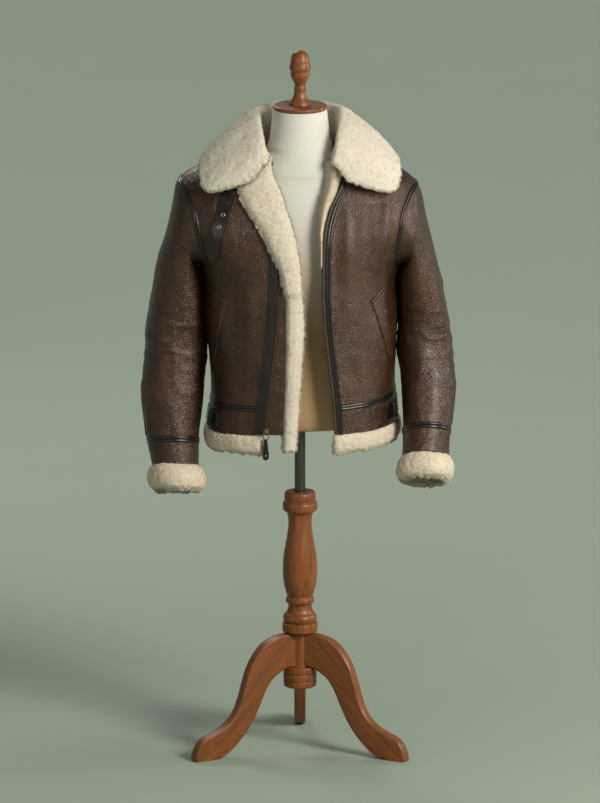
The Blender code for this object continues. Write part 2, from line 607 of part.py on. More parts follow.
def make_waist():
    """The waistband and the tape over its seam, in three lengths round the waist."""
    for part, levels, material_name, out in (
        ("waistband", np.linspace(0.01, 0.9 - 0.006, 3), "brown_leather", 0.0),
        ("waist_tape", np.linspace(0.9, 1.0 + TAPE_WIDTH / 2 / 0.075 - 0.006, 2), "black_leather", TAPE_PROUD),
    ):
        for name, low, high, columns in (
            ("left", front_edge(1, levels), LEFT_SIDE + gap_angle(0.0, levels), 9),
            ("right", front_edge(-1, levels), RIGHT_SIDE - gap_angle(180.0, levels), 9),
            ("back", RIGHT_SIDE + gap_angle(180.0, levels), 360 - gap_angle(0.0, levels), 15),
        ):
            panel(f"{part}_{name}", low, high, levels, columns, material_name, out)


HEM_FUR = ((0.0, -0.0016), (0.0045, -0.007), (0.0065, -0.018), (0.0050, -0.030), (-0.0010, -0.0375))
HEM_FUR_INSIDE = ((-0.0085, -0.0016), (-0.0090, -0.010), (-0.0090, -0.020), (-0.0080, -0.030), (-0.0050, -0.0375))
HEM_FUR_ENDS = (0.0690, -0.0765)  # it runs on below the plackets


def make_hem_fur():
    """The wool that shows below the waistband: (out, up) from its lower edge, all the way round."""
    low, high = (float(angle_at(0.0, x)) for x in HEM_FUR_ENDS)
    angle = np.linspace(high, low + 360, 34)
    edge = body_point(angle, 0.0)
    outward = body_normal(angle, 0.3) * (1, 1, 0)
    outward = unit(outward)

    def rows(profile):
        return [edge + outward * out + np.array((0, 0, up)) for out, up in profile]

    wall("hem_fur", rows(HEM_FUR), rows(HEM_FUR_INSIDE), "wool")


def make_armhole_tapes():
    turn = np.linspace(0, 360, ARMHOLE_POINTS, endpoint=False)
    for name, side in (("left", 1), ("right", -1)):
        outer, inner = [], []
        for inset in (2 * GAP, TAPE_WIDTH / 2, TAPE_WIDTH):
            angle, level = armhole(side, turn, inset)
            outer.append(on_coat(angle, level, TAPE_PROUD))
            inner.append(in_coat(angle, level))
        wall(f"armhole_tape_{name}", outer, inner, "black_leather", ring=True)


# ---------------------------------------------------------------- sleeves
def sleeve_ring(table, level, turn):
    """A sleeve as its table gives it, on the left. turn: 0 front, 90 outer side, 180 back, 270 inner."""
    row = dict(zip(SLEEVE_COLUMNS, np.moveaxis(spline(table, level), -1, 0)))
    turn, lean = np.radians(turn), np.radians(row["lean"])
    sin, cos = np.sin(turn), np.cos(turn)
    zero = np.zeros(np.broadcast(sin, row["mid_y"]).shape)
    middle = np.stack(
        [(row["outer_x"] + row["inner_x"]) / 2 + zero, row["mid_y"] + zero, (row["outer_z"] + row["inner_z"]) / 2 + zero],
        -1,
    )
    across = np.stack(
        [(row["outer_x"] - row["inner_x"]) / 2 * sin, zero, (row["outer_z"] - row["inner_z"]) / 2 * sin], -1
    )
    forward = np.stack([zero, -np.cos(lean) * row["half_y"] * cos, np.sin(lean) * row["half_y"] * cos], -1)
    return middle + across + forward


def sleeve_point(side, level, turn):
    """The plain sleeve: its table, drawn to the armhole's edge at the top."""
    table = LEFT_SLEEVE if side > 0 else RIGHT_SLEEVE
    level, turn = np.broadcast_arrays(np.asarray(level, float), np.asarray(turn, float))
    point = sleeve_ring(table, level, turn)
    seam = body_point(*armhole(side, turn, TAPE_WIDTH + 0.0004)) * (side, 1, 1)
    away = seam - sleeve_ring(table, np.zeros_like(level), turn)
    pull = (1 - smooth(level / 2.5))[..., None]
    return (point + away * pull) * (side, 1, 1)


def sleeve_normal(side, level, turn):
    step_level, step_turn = 0.04, 3.0
    low = np.clip(np.asarray(level) - step_level, 0, CUFF_EDGE)
    high = np.clip(np.asarray(level) + step_level, 0, CUFF_EDGE)
    down = sleeve_point(side, high, turn) - sleeve_point(side, low, turn)
    around = sleeve_point(side, level, turn + step_turn) - sleeve_point(side, level, turn - step_turn)
    return unit(np.cross(down, around)) * side


def sleeve_fold(side, level, turn):
    total = np.zeros(np.broadcast(level, turn).shape)
    for middle, fold_level, half_turn, half_level, lean, height in SLEEVE_FOLDS:
        along = (level - fold_level) / half_level
        middle = middle if side > 0 else 160 - middle
        across = (turn - middle - lean * side * along + 180) % 360 - 180
        total = total + height * np.exp(-((across / half_turn) ** 2)) * smooth(1 - np.abs(along))
    return total


def sleeve_wall(name, side, levels, turns, out, material_name, seam_rim=False):
    level, turn = np.meshgrid(levels, turns, indexing="ij")
    plain, normal = sleeve_point(side, level, turn), sleeve_normal(side, level, turn)
    outer = plain + normal * (sleeve_fold(side, level, turn) + out)[..., None]
    inner = plain - normal * HIDE
    if seam_rim:  # its rim lies along the armhole tape's
        angle, body_level = armhole(side, turns, TAPE_WIDTH + 0.0004)
        outer[0], inner[0] = on_coat(angle, body_level), in_coat(angle, body_level)
    wall(name, outer, inner, material_name, ring=True)


def make_sleeves():
    turns = np.linspace(0, 360, ARMHOLE_POINTS, endpoint=False)
    tape = 0.20
    for name, side in (("left", 1), ("right", -1)):
        levels = [0, 0.5, 1.0, 1.6, 2.3, 3.1, 4.1, 5.1, 6.1, 7.0, 7.8, 8.6, 9.4, 10.2, CUFF_SEAM - 0.006]
        sleeve_wall(f"sleeve_{name}", side, levels, turns, 0.0, "brown_leather", seam_rim=True)
        sleeve_wall(f"cuff_tape_{name}", side, [CUFF_SEAM, CUFF_SEAM + tape], turns, TAPE_PROUD, "black_leather")
        sleeve_wall(f"cuff_{name}", side, [CUFF_SEAM + tape + 0.006, CUFF_EDGE], turns, 0.0, "brown_leather")
        edge = sleeve_point(side, CUFF_EDGE, turns)
        above = sleeve_point(side, CUFF_EDGE - 0.1, turns)
        down = unit((edge - above).mean(0))
        outward = unit(edge - edge.mean(0))
        outer = [edge + down * (0.0004 + share * CUFF_FUR_LENGTH) + outward * out for share, out in CUFF_FUR]
        inner = [ring - outward * (CUFF_FUR_THICK + 0.4 * (out - 0.001)) for ring, (_, out) in zip(outer, CUFF_FUR)]
        inner[0] = outer[0] - outward * HIDE
        inner[-1] = outer[-1] - outward * 0.006
        wall(f"cuff_fur_{name}", outer, inner, "wool", ring=True)


# ---------------------------------------------------------------- collar
def make_collar():
    columns = 29
    half = len(COLLAR) - 1
    table = [dict(zip(COLLAR_COLUMNS, row)) for row in COLLAR]
    keys = []
    for side, order in ((1, table), (-1, table[-2::-1])):
        for row in order:
            angle = row["seam"] if side > 0 else 180 - row["seam"]
            neck = body_point(angle, NECK)
            inward = unit(-neck * (1, 1, 0))
            along = unit(neck - body_point(angle, NECK - 0.05)) * 0.0012
            seam = in_coat(angle, NECK) + along
            roll = np.array((side * row["roll_x"], row["roll_y"], row["roll_z"]))
            edge = np.array((side * row["edge_x"], row["edge_y"], row["edge_z"]))
            outward = unit((edge - roll) * (1, 1, 0))
            up = np.array((0, 0, 1.0))
            swell = row["swell"] * (0.5 * outward + up)
            rise = (neck + inward * 0.0095 + np.array((0, 0, 0.006))) * 0.7 + roll * 0.3
            face = [seam, rise, roll, roll * 0.62 + edge * 0.38 + swell * 0.9, roll * 0.25 + edge * 0.75 + swell * 0.8, edge]
            under = []
            for point, (out, lift, thick) in zip(face, COLLAR_ROWS):
                under.append(point - unit(outward * out + up * lift) * thick)
            under[0] = neck + along
            keys.append(np.concatenate([face, under]))
    keys = np.array(keys)
    grid = spline(keys.reshape(len(keys), -1), np.linspace(0, 2 * half, columns)).reshape(columns, 12, 3)
    rows = np.linspace(0, 5, 9)
    face = np.array([spline(column[:6], rows) for column in grid])
    under = np.array([spline(column[6:], rows) for column in grid])
    wall("collar", face, under, "wool")


# ---------------------------------------------------------------- the stand
def make_form():
    """The limbless dress form: its lower rows, then a fit under the jacket's shoulders, then a neck."""
    sides = 30
    angle = np.linspace(0, 360, sides, endpoint=False)
    rings = [body_point(angle, level, FORM_ROWS) for level in np.linspace(0, len(FORM_ROWS) - 1, 13)]
    for level in (6.75, 7.0, 7.25, 7.5):
        sink = FORM_REST + 0.010 * (np.sin(np.radians(angle)) ** 2) * smooth((8.3 - level) / 1.2)
        rings.append(body_point(angle, level) - body_normal(angle, level) * sink[:, None])
    base = np.stack([np.cos(np.radians(angle)), -np.sin(np.radians(angle)), np.zeros(sides)], -1)
    for height, radius_x, radius_y, shift in (
        (1.2280, 0.0720, 0.0700, -0.004),
        (1.2400, 0.0650, 0.0670, -0.004),
        (1.2550, 0.0605, 0.0620, -0.002),
        (1.2750, 0.0575, 0.0580, -0.001),
        (1.2950, 0.0555, 0.0555, 0.0),
        (1.3105, 0.0535, 0.0535, 0.0),
    ):
        rings.append(base * (radius_x, radius_y, 1) + np.array((0, shift, height)))
    bore = base * BORE_RADIUS
    rings = [bore + np.array((0, 0, SOCKET_TOP + 0.0003)), bore + np.array((0, 0, 0.672))] + rings
    tube("form_torso", rings, "linen")


def make_stand():
    turned("finial", FINIAL, "wood", 13)
    turned("neck_cap", NECK_CAP, "wood", 24)
    pole = [(SOCKET_TOP, 0.0), (SOCKET_TOP, POLE_RADIUS), (POLE_BOTTOM, POLE_RADIUS), (POLE_BOTTOM, 0.0)]
    turned("pole", pole, "chrome", 18)
    bore = [(BORE_BOTTOM, 0.0), (BORE_BOTTOM, BORE_RADIUS)]
    turned("column", bore + list(COLUMN), "wood", COLUMN_STEPS)
    core = round_bar("leg_seat", CORE_RADIUS + GAP, CORE_RADIUS + GAP, 0.6, COLUMN_STEPS, "wood")
    cutters = bpy.data.collections.new("cutters")
    bpy.context.scene.collection.children.link(cutters)
    cutters.objects.link(core)
    bpy.data.collections["shearling_jacket_on_form"].objects.unlink(core)
    core.hide_render, core.display_type = True, "WIRE"
    leg = flat_board("leg", LEG_TOP + LEG_UNDER, LEG_THICK)
    for number, turn in enumerate(LEG_TURNS, 1):
        obj = add(f"leg_{number}", leg.copy(), "wood")
        obj.rotation_euler = (math.pi / 2, 0, math.radians(turn))
        seat = obj.modifiers.new("seat on the column's core", "BOOLEAN")
        seat.object, seat.operation = core, "DIFFERENCE"
    bpy.data.meshes.remove(leg)


# ---------------------------------------------------------------- trims
def laid(name, angle, level, out, thick, material_name):
    """A flat trim laid on the jacket's face over a grid of angles and levels."""
    ground, normal = body_point(angle, level), body_normal(angle, level)
    low = fold_height(angle, level) + out
    wall(name, ground + normal * (low + thick)[..., None], ground + normal * low[..., None], material_name)


def four_corners(bottom, top, columns, rows):
    """A grid of (x, level) places between two pairs of them."""
    across, up = np.meshgrid(np.linspace(0, 1, columns), np.linspace(0, 1, rows))
    across, up = across[..., None], up[..., None]
    (a, b), (c, d) = np.array(bottom), np.array(top)
    return (a * (1 - across) + b * across) * (1 - up) + (c * (1 - across) + d * across) * up


def make_pockets():
    """The slanted welts of the side pockets, sewn down along both edges."""
    for name, side, bottom, top in (
        ("left", 1, ((0.1850, 2.20), (0.1760, 2.07)), ((0.1650, 3.70), (0.1430, 3.46))),
        ("right", -1, ((0.1790, 2.22), (0.1700, 2.10)), ((0.1690, 3.62), (0.1470, 3.42))),
    ):
        place = four_corners(bottom, top, 4, 8)
        level = place[..., 1]
        laid(f"pocket_welt_{name}", angle_at(level, side * place[..., 0]), level, 0.0012, 0.0022, "brown_leather")


STRAP = ((0.1390, 6.50), (0.1480, 5.90), (0.1580, 5.30), (0.1660, 4.85), (0.1700, 4.52), (0.1720, 4.38), (0.1725, 4.32))
STRAP_HALF = (0.0125, 0.0130, 0.0132, 0.0130, 0.0122, 0.0090, 0.0040)
STRAP_OUT = (0.0005, 0.0005, 0.0005, 0.0011, 0.0023, 0.0027, 0.0027)  # it rises over the armhole's tape
STRAP_THICK = 0.0024
EYELETS = ((0.1335, 6.32), (0.1440, 5.93), (0.1520, 5.52), (0.1600, 5.14))


def make_throat_strap():
    """The strap that hangs from under the collar, with its four eyelets."""
    rows = np.linspace(0, len(STRAP) - 1, 15)
    centre, half, out_rows = spline(STRAP, rows), spline(STRAP_HALF, rows), spline(STRAP_OUT, rows)
    across = np.linspace(-1, 1, 5)
    x = centre[:, :1] + half[:, None] * across * 0.93
    level = centre[:, 1:] + half[:, None] * across * 3.4
    laid("throat_strap", angle_at(level, -x), level, out_rows[:, None], STRAP_THICK, "black_leather")
    bpy.ops.mesh.primitive_torus_add(major_segments=10, minor_segments=4, major_radius=0.0038, minor_radius=0.0010)
    ring = bpy.context.object.data
    ring.shade_smooth()
    bpy.data.objects.remove(bpy.context.object)
    ring.materials.append(material("nickel"))
    for number, (x, level) in enumerate(EYELETS, 1):
        eyelet = add(f"throat_eyelet_{number}", ring)
        out = np.interp(-level, -centre[:, 1], out_rows)
        seat_on_coat(eyelet, float(angle_at(level, -x)), level, out + STRAP_THICK + 0.0010 + GAP)


BUCKLE = (  # the frame's wire, in millimetres: across, up
    (-10, -13), (-7, -16), (7, -16), (10, -13), (10, 0), (10, 13), (7, 16), (-7, 16), (-10, 13), (-10, 0),
)
BUCKLE_WIRE = 0.0014


def make_side_straps():
    """The waistband's adjusting straps, each round a side seam under a frame buckle."""
    for name, side, start, end, buckle in (("left", 1, 30.0, -16.0, 17.0), ("right", -1, 150.0, 196.0, 163.0)):
        level, angle = np.meshgrid(np.linspace(0.28, 0.76, 3), np.linspace(start, end, 9), indexing="ij")
        laid(f"side_strap_{name}", angle, level, 0.0010, 0.0024, "black_leather")
        frame = wire_loop(f"side_buckle_{name}", [(a / 1000, b / 1000, 0) for a, b in BUCKLE], BUCKLE_WIRE, "nickel")
        seat_on_coat(frame, buckle, 0.52, 0.0010 + 0.0024 + BUCKLE_WIRE + GAP)


SLIDER_X, SLIDER_LEVEL = -0.0672, 0.22
ZIP_LINK = (  # the link's wire, in millimetres from the middle of its top bar: across, up
    (-5.5, 0), (0, 0), (5.5, 0), (6.3, -3), (5.0, -11), (3.6, -14), (0, -14.6), (-3.6, -14), (-5.0, -11), (-6.3, -3),
)


def make_zip_pull():
    """The slider on the right-hand zip, its bridge, and the leather pull that hangs from a link."""
    x = SLIDER_X + np.array([-0.0060, -0.0045, 0.0045, 0.0060])
    level, across = np.meshgrid(SLIDER_LEVEL + np.array([-0.16, -0.12, 0.12, 0.16]), x, indexing="ij")
    laid("zip_slider", angle_at(level, across), level, 0.0016, 0.0042, "brass")
    angle = float(angle_at(SLIDER_LEVEL, SLIDER_X))
    face = body_point(angle, SLIDER_LEVEL) + body_normal(angle, SLIDER_LEVEL) * 0.0060
    arch = ((0.0, 0.0055), (0.0030, 0.0050), (0.0046, 0.0025), (0.0050, 0.0), (0.0046, -0.0025), (0.0030, -0.0050), (0.0, -0.0055))
    rings = []
    for i, (out, up) in enumerate(arch):
        before, after = arch[max(i - 1, 0)], arch[min(i + 1, len(arch) - 1)]
        along = unit(np.array((0, -(after[0] - before[0]), after[1] - before[1])))
        if i in (0, len(arch) - 1):
            along = unit(np.array((0, -1 if i == 0 else 1, 0)))
        side = np.cross(along, (1, 0, 0))
        centre = face + np.array((0, -out - 0.0003, up))
        rings.append([centre + np.array((a, 0, 0)) + side * b for a, b in ((-0.0016, -0.0006), (0.0016, -0.0006), (0.0016, 0.0006), (-0.0016, 0.0006))])
    tube("zip_bridge", rings, "brass")
    # The link, the pull and its rivet swing about this empty's X, in the middle of the link's top bar.
    hinge = add("zip_pull_hinge", None)
    hinge.location = face + np.array((0, -0.0026, -0.0020))
    link = wire_loop("zip_link", [(a / 1000, 0, b / 1000) for a, b in ZIP_LINK], 0.0009, "brass")
    bar = np.array((0, 0, min(b for _, b in ZIP_LINK) / 1000))
    turns = np.radians(np.linspace(-60, 240, 9))
    outline = [(0.0029 * math.cos(t), 0.0029 * math.sin(t), 0.0034) for t in turns]
    half = ((-0.012, 0.0044), (-0.028, 0.0064), (-0.035, 0.0060), (-0.0400, 0.0030))
    outline += [(-0.0016, height, wide) for height, wide in half] + [(0.0016, height, wide) for height, wide in half[::-1]]
    count = len(outline)
    hole_turns = np.radians(np.concatenate([np.linspace(-60, 240, 9), np.linspace(246, 294, count - 9)]))
    right, left = [[], []], [[], []]
    for (y, z, half), turn in zip(outline, hole_turns):
        hy, hz = 0.0015 * math.cos(turn), 0.0015 * math.sin(turn)
        for sign, rows in ((1, right), (-1, left)):
            rows[0].append(bar + np.array((sign * half, y, z)))
            rows[1].append(bar + np.array((sign * 0.0032, hy, hz)))
    pull = wall("zip_pull", right, left, "black_leather", ring=True)
    rivet = round_bar("pull_rivet", 0.0019, 0.0012, 0.0011, 10, "nickel")
    rivet.rotation_euler = (math.pi / 2, 0, 0)
    rivet.location = bar + np.array((0, -0.0016 - GAP - 0.0011 / 2, -0.0310))
    for obj in (link, pull, rivet):
        obj.parent = hinge


def main():
    clear_scene()
    collection = bpy.data.collections.new("shearling_jacket_on_form")
    bpy.context.scene.collection.children.link(collection)
    axis = bpy.data.objects.new("stand_axis", None)
    collection.objects.link(axis)
    axis.location = (AXIS_X, AXIS_Y, 0)
    make_fronts()
    make_back()
    make_waist()
    make_hem_fur()
    make_armhole_tapes()
    make_sleeves()
    make_collar()
    make_fur_edges()
    make_form()
    make_stand()
    make_pockets()
    make_throat_strap()
    make_side_straps()
    make_zip_pull()


main()
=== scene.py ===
"""Shearling flight jacket on a limbless dress form with a turned tripod stand.

Metres, +Z up, the jacket's front faces -Y. "Right" is the wearer's right, at -X. The jacket's
surface is the CAD's: a point has an angle round the stand's axis (0 left side, 90 front, 180 right
side, 270 back) and a level, which counts the rows of BODY_ROWS from the hem to the neck seam.
"""

import math

import bpy
import numpy as np
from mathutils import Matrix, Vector


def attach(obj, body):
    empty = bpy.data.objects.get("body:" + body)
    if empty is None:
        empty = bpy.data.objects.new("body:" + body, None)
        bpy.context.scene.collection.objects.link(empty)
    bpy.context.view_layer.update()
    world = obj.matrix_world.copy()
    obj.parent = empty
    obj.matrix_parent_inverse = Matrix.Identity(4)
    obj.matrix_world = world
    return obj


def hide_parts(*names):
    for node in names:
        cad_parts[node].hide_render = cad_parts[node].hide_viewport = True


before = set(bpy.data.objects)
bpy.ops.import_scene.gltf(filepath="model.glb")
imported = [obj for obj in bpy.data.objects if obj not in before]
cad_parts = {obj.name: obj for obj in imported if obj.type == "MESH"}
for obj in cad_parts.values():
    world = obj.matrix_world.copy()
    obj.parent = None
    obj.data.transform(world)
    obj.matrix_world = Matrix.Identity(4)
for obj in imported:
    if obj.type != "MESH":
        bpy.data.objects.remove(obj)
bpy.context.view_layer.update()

AXIS = np.array((0.0035, -0.0409, 0.0))  # a point on the stand's axis
HIDE, TAPE_WIDTH = 0.008, 0.011
SEAM_GAP = 0.0003  # between the parts of a front's edge
BAND_RISE = 0.075  # from a level to the next at the waistband
SIDES = (("left", 1), ("right", -1))

BODY_COLUMNS = ("left_x", "right_x", "front_y", "back_y", "left_z", "front_z", "right_z", "back_z", "square")
BODY_ROWS = (
    (0.195, 0.186, 0.150, 0.140, 0.684, 0.676, 0.668, 0.672, 2.50),
    (0.190, 0.178, 0.150, 0.138, 0.742, 0.731, 0.722, 0.730, 2.50),
    (0.191, 0.180, 0.150, 0.134, 0.808, 0.805, 0.795, 0.800, 2.40),
    (0.196, 0.190, 0.148, 0.136, 0.897, 0.895, 0.890, 0.893, 2.35),
    (0.198, 0.197, 0.144, 0.142, 0.985, 0.985, 0.985, 0.990, 2.30),
    (0.258, 0.262, 0.134, 0.140, 1.105, 1.070, 1.108, 1.085, 2.20),
    (0.228, 0.236, 0.116, 0.122, 1.166, 1.125, 1.174, 1.145, 2.10),
    (0.165, 0.168, 0.100, 0.106, 1.208, 1.172, 1.210, 1.200, 2.00),
    (0.086, 0.086, 0.094, 0.082, 1.238, 1.212, 1.238, 1.244, 2.00),
)
NECK = 8  # the neck seam's level
# How far the zips' middles and the wind flap's edge lie from the jacket's middle, at each level.
LEFT_ZIP_X = (0.0716, 0.0680, 0.0604, 0.0505, 0.0470, 0.0495, 0.0620, 0.0850, 0.0610)
RIGHT_ZIP_X = (0.0695, 0.0635, 0.0555, 0.0455, 0.0400, 0.0385, 0.0450, 0.0560, 0.0580)
FLAP_X = (-0.0350, -0.0335, -0.0310, -0.0303, -0.0322, -0.0330)
FLAP_TOP = 4.3  # a level
ZIP_WIDTH, ZIP_TUCK = 0.006, 0.0044
LEFT_PLACKET, RIGHT_PLACKET = 0.0115, 0.0210  # widths
ARMHOLE_MID, ARMHOLE_RISE, ARMHOLE_FRONT, ARMHOLE_BACK = 5.0, 1.0, 42.0, 44.0  # levels, then degrees
DEGREE, LEVEL_ABOVE, LEVEL_BELOW = 0.00355, 0.070, 0.115  # what they measure on the hide, round an armhole
ARMHOLE_INSET = TAPE_WIDTH + 0.0004  # where the sleeve meets its tape
FOLD_COLUMNS = ("angle", "level", "half_angle", "half_level", "lean", "height")
FOLDS = (
    (56.0, 4.9, 9.0, 1.4, 4.0, 0.0035),
    (38.0, 2.6, 9.0, 1.3, -5.0, 0.0035),
    (64.0, 2.2, 6.0, 1.0, 3.0, -0.0025),
    (124.0, 4.8, 9.0, 1.3, -5.0, 0.0035),
    (140.0, 2.7, 9.0, 1.4, 6.0, 0.0040),
    (120.0, 2.1, 6.0, 1.0, -3.0, -0.0025),
    (222.0, 3.6, 9.0, 1.7, 5.0, 0.0045),
    (252.0, 2.4, 8.0, 1.1, -4.0, 0.0030),
    (288.0, 2.6, 8.0, 1.2, 5.0, 0.0035),
    (318.0, 3.5, 9.0, 1.6, -5.0, 0.0045),
    (236.0, 5.6, 8.0, 1.0, -8.0, -0.0030),
    (304.0, 5.6, 8.0, 1.0, 8.0, -0.0030),
)
LAPEL = (  # level, outer x, inner x, underside, fur face
    (0.05, -0.0345, -0.0080, -0.0080, 0.0050),
    (0.71, -0.0330, -0.0040, -0.0080, 0.0055),
    (1.69, -0.0308, 0.0010, -0.0080, 0.0060),
    (2.53, -0.0292, 0.0050, -0.0080, 0.0060),
    (3.09, -0.0285, 0.0060, -0.0080, 0.0065),
    (3.60, -0.0290, 0.0050, -0.0060, 0.0085),
    (3.83, -0.0310, 0.0030, 0.0035, 0.0150),
    (4.19, -0.0380, 0.0010, 0.0040, 0.0170),
    (4.74, -0.0580, -0.0050, 0.0040, 0.0180),
    (5.33, -0.0830, -0.0150, 0.0040, 0.0180),
    (5.97, -0.1080, -0.0270, 0.0040, 0.0180),
    (6.50, -0.1230, -0.0350, 0.0040, 0.0170),
    (6.90, -0.1120, -0.0430, 0.0035, 0.0160),
    (7.15, -0.1000, -0.0490, 0.0030, 0.0150),
    (7.45, -0.0920, -0.0545, 0.0025, 0.0140),
    (7.75, -0.0860, -0.0560, 0.0025, 0.0130),
    (7.96, -0.0820, -0.0550, 0.0020, 0.0120),
)
LAPEL_DROP = 0.034  # how far its lower end hangs
FACING = (  # as LAPEL's columns
    (4.35, 0.0440, 0.0420, -0.0080, 0.0000),
    (4.78, 0.0450, 0.0400, -0.0090, 0.0030),
    (5.20, 0.0465, 0.0380, -0.0100, 0.0045),
    (5.50, 0.0495, 0.0385, -0.0100, 0.0060),
    (6.00, 0.0575, 0.0410, -0.0100, 0.0080),
    (6.50, 0.0700, 0.0460, -0.0100, 0.0090),
    (6.95, 0.0800, 0.0515, -0.0100, 0.0100),
    (7.25, 0.0870, 0.0540, -0.0100, 0.0115),
    (7.55, 0.0915, 0.0545, -0.0100, 0.0125),
    (7.95, 0.0950, 0.0530, -0.0100, 0.0120),
)
COLLAR_COLUMNS = ("seam", "roll_x", "roll_y", "roll_z", "edge_x", "edge_y", "edge_z", "swell")
COLLAR = (
    (43.0, 0.0650, -0.0980, 1.2260, 0.0985, -0.1120, 1.1920, 0.003),
    (30.0, 0.0730, -0.0860, 1.2480, 0.1480, -0.1080, 1.1750, 0.006),
    (17.0, 0.0780, -0.0600, 1.2700, 0.1900, -0.0930, 1.1680, 0.009),
    (5.0, 0.0810, -0.0280, 1.2870, 0.2010, -0.0450, 1.1990, 0.010),
    (-9.0, 0.0830, 0.0020, 1.2970, 0.1950, 0.0150, 1.2120, 0.011),
    (-35.0, 0.0790, 0.0520, 1.3040, 0.1680, 0.0850, 1.2030, 0.013),
    (-62.0, 0.0490, 0.0880, 1.3050, 0.1000, 0.1360, 1.1850, 0.014),
    (-90.0, 0.0000, 0.1000, 1.3050, 0.0000, 0.1560, 1.1780, 0.014),
)
COLLAR_ROWS = (  # how the underside lies off the face: outward share, upward share, thickness
    (-1.00, 0.00, 0.0090),
    (-0.80, 0.60, 0.0110),
    (-0.10, 1.00, 0.0130),
    (0.40, 0.92, 0.0140),
    (0.50, 0.87, 0.0140),
    (0.55, 0.84, 0.0110),
)
SLEEVE_COLUMNS = ("outer_x", "outer_z", "inner_x", "inner_z", "mid_y", "half_y", "lean")
LEFT_SLEEVE = (
    (0.2290, 1.157, 0.2005, 0.9975, 0.000, 0.084, 0),
    (0.2400, 1.134, 0.2040, 0.9985, 0.000, 0.083, 0),
    (0.2510, 1.098, 0.2050, 0.9945, 0.000, 0.080, 2),
    (0.2620, 1.056, 0.2000, 0.9870, 0.000, 0.077, 4),
    (0.2730, 1.010, 0.1935, 0.9740, 0.001, 0.074, 5),
    (0.2830, 0.965, 0.1915, 0.9510, 0.003, 0.072, 4),
    (0.2910, 0.920, 0.1943, 0.9150, 0.005, 0.070, 2),
    (0.2985, 0.875, 0.1950, 0.8720, 0.006, 0.067, 6),
    (0.3045, 0.825, 0.1942, 0.8230, 0.001, 0.064, 16),
    (0.3090, 0.770, 0.2010, 0.7690, -0.020, 0.061, 24),
    (0.3090, 0.720, 0.2035, 0.7200, -0.047, 0.057, 26),
    (0.3010, 0.675, 0.2050, 0.6750, -0.073, 0.052, 26),
    (0.2970, 0.622, 0.2040, 0.6220, -0.097, 0.049, 26),
)
RIGHT_SLEEVE = (
    (0.2350, 1.163, 0.2005, 0.9975, 0.000, 0.084, 0),
    (0.2460, 1.140, 0.2040, 0.9985, 0.000, 0.083, 0),
    (0.2580, 1.102, 0.2050, 0.9945, 0.000, 0.080, 2),
    (0.2700, 1.056, 0.1990, 0.9870, 0.000, 0.077, 4),
    (0.2830, 1.010, 0.1928, 0.9740, 0.001, 0.074, 5),
    (0.2920, 0.965, 0.1885, 0.9510, 0.003, 0.072, 4),
    (0.3000, 0.920, 0.1882, 0.9150, 0.005, 0.070, 2),
    (0.3070, 0.870, 0.1862, 0.8680, 0.006, 0.068, 4),
    (0.3105, 0.820, 0.1852, 0.8180, 0.003, 0.066, 10),
    (0.3135, 0.765, 0.1905, 0.7640, -0.010, 0.064, 16),
    (0.3140, 0.705, 0.1965, 0.7050, -0.027, 0.061, 17),
    (0.3060, 0.648, 0.2020, 0.6480, -0.046, 0.054, 17),
    (0.2960, 0.596, 0.2020, 0.5960, -0.063, 0.049, 17),
)
CUFF_SEAM, CUFF_EDGE = 11, 12  # levels down the sleeve
CUFF_TAPE, CUFF_GAP = 0.20, 0.006
# Wool at the cuffs as (share of its length, how far out), and at the hem as (how far out, height).
CUFF_FUR = ((0.002, 0.0), (0.20, 0.007), (0.55, 0.011), (0.85, 0.008), (1.0, 0.001))
CUFF_FUR_LENGTH, CUFF_FUR_THICK = 0.049, 0.012
SLEEVE_FOLDS = (
    (40.0, 6.2, 22.0, 2.2, 10.0, 0.0045),
    (352.0, 8.3, 20.0, 1.5, -14.0, 0.0040),
    (70.0, 9.4, 18.0, 1.3, 12.0, 0.0035),
    (130.0, 7.6, 24.0, 2.0, -10.0, 0.0045),
    (205.0, 6.8, 22.0, 2.2, 12.0, 0.0045),
    (20.0, 3.0, 16.0, 1.6, 8.0, -0.0030),
    (160.0, 3.2, 16.0, 1.6, -8.0, -0.0030),
)
HEM_FUR = ((0.0, -0.0016), (0.0045, -0.007), (0.0065, -0.018), (0.0050, -0.030), (-0.0010, -0.0375))
HEM_FUR_ENDS = (0.0690, -0.0765)  # it runs on under the zips
HEM_FUR_INSIDE = ((-0.0085, -0.0016), (-0.0090, -0.010), (-0.0090, -0.020), (-0.0080, -0.030), (-0.0050, -0.0375))
# The throat strap down its middle, as (x, level): half its width, and how far it stands from the hide.
STRAP = (
    (0.1390, 6.50), (0.1480, 5.90), (0.1580, 5.30), (0.1660, 4.85), (0.1700, 4.52), (0.1720, 4.38), (0.1725, 4.32),
)
STRAP_HALF = (0.0125, 0.0130, 0.0132, 0.0130, 0.0122, 0.0090, 0.0040)
STRAP_OUT = (0.0005, 0.0005, 0.0005, 0.0011, 0.0023, 0.0027, 0.0027)
STRAP_THICK = 0.0024
EYELETS = ((0.1335, 6.32), (0.1440, 5.93), (0.1520, 5.52), (0.1600, 5.14))
BUCKLE_HALF, BUCKLE_WIRE, BUCKLE_LEVEL = (0.010, 0.016), 0.0014, 0.52
FINE_WIRE = 0.0009
SLIDER_X, SLIDER_LEVEL, SLIDER_HALF = -0.0672, 0.22, 0.16
TOOTH_PITCH, TOOTH_HALF = 0.0031, (0.0023, 0.00085)
ZIP_LINK = (  # in millimetres from its upper bar
    (-5.5, 0), (0, 0), (5.5, 0), (6.3, -3), (5.0, -11),
    (3.6, -14), (0, -14.6), (-3.6, -14), (-5.0, -11), (-6.3, -3),
)
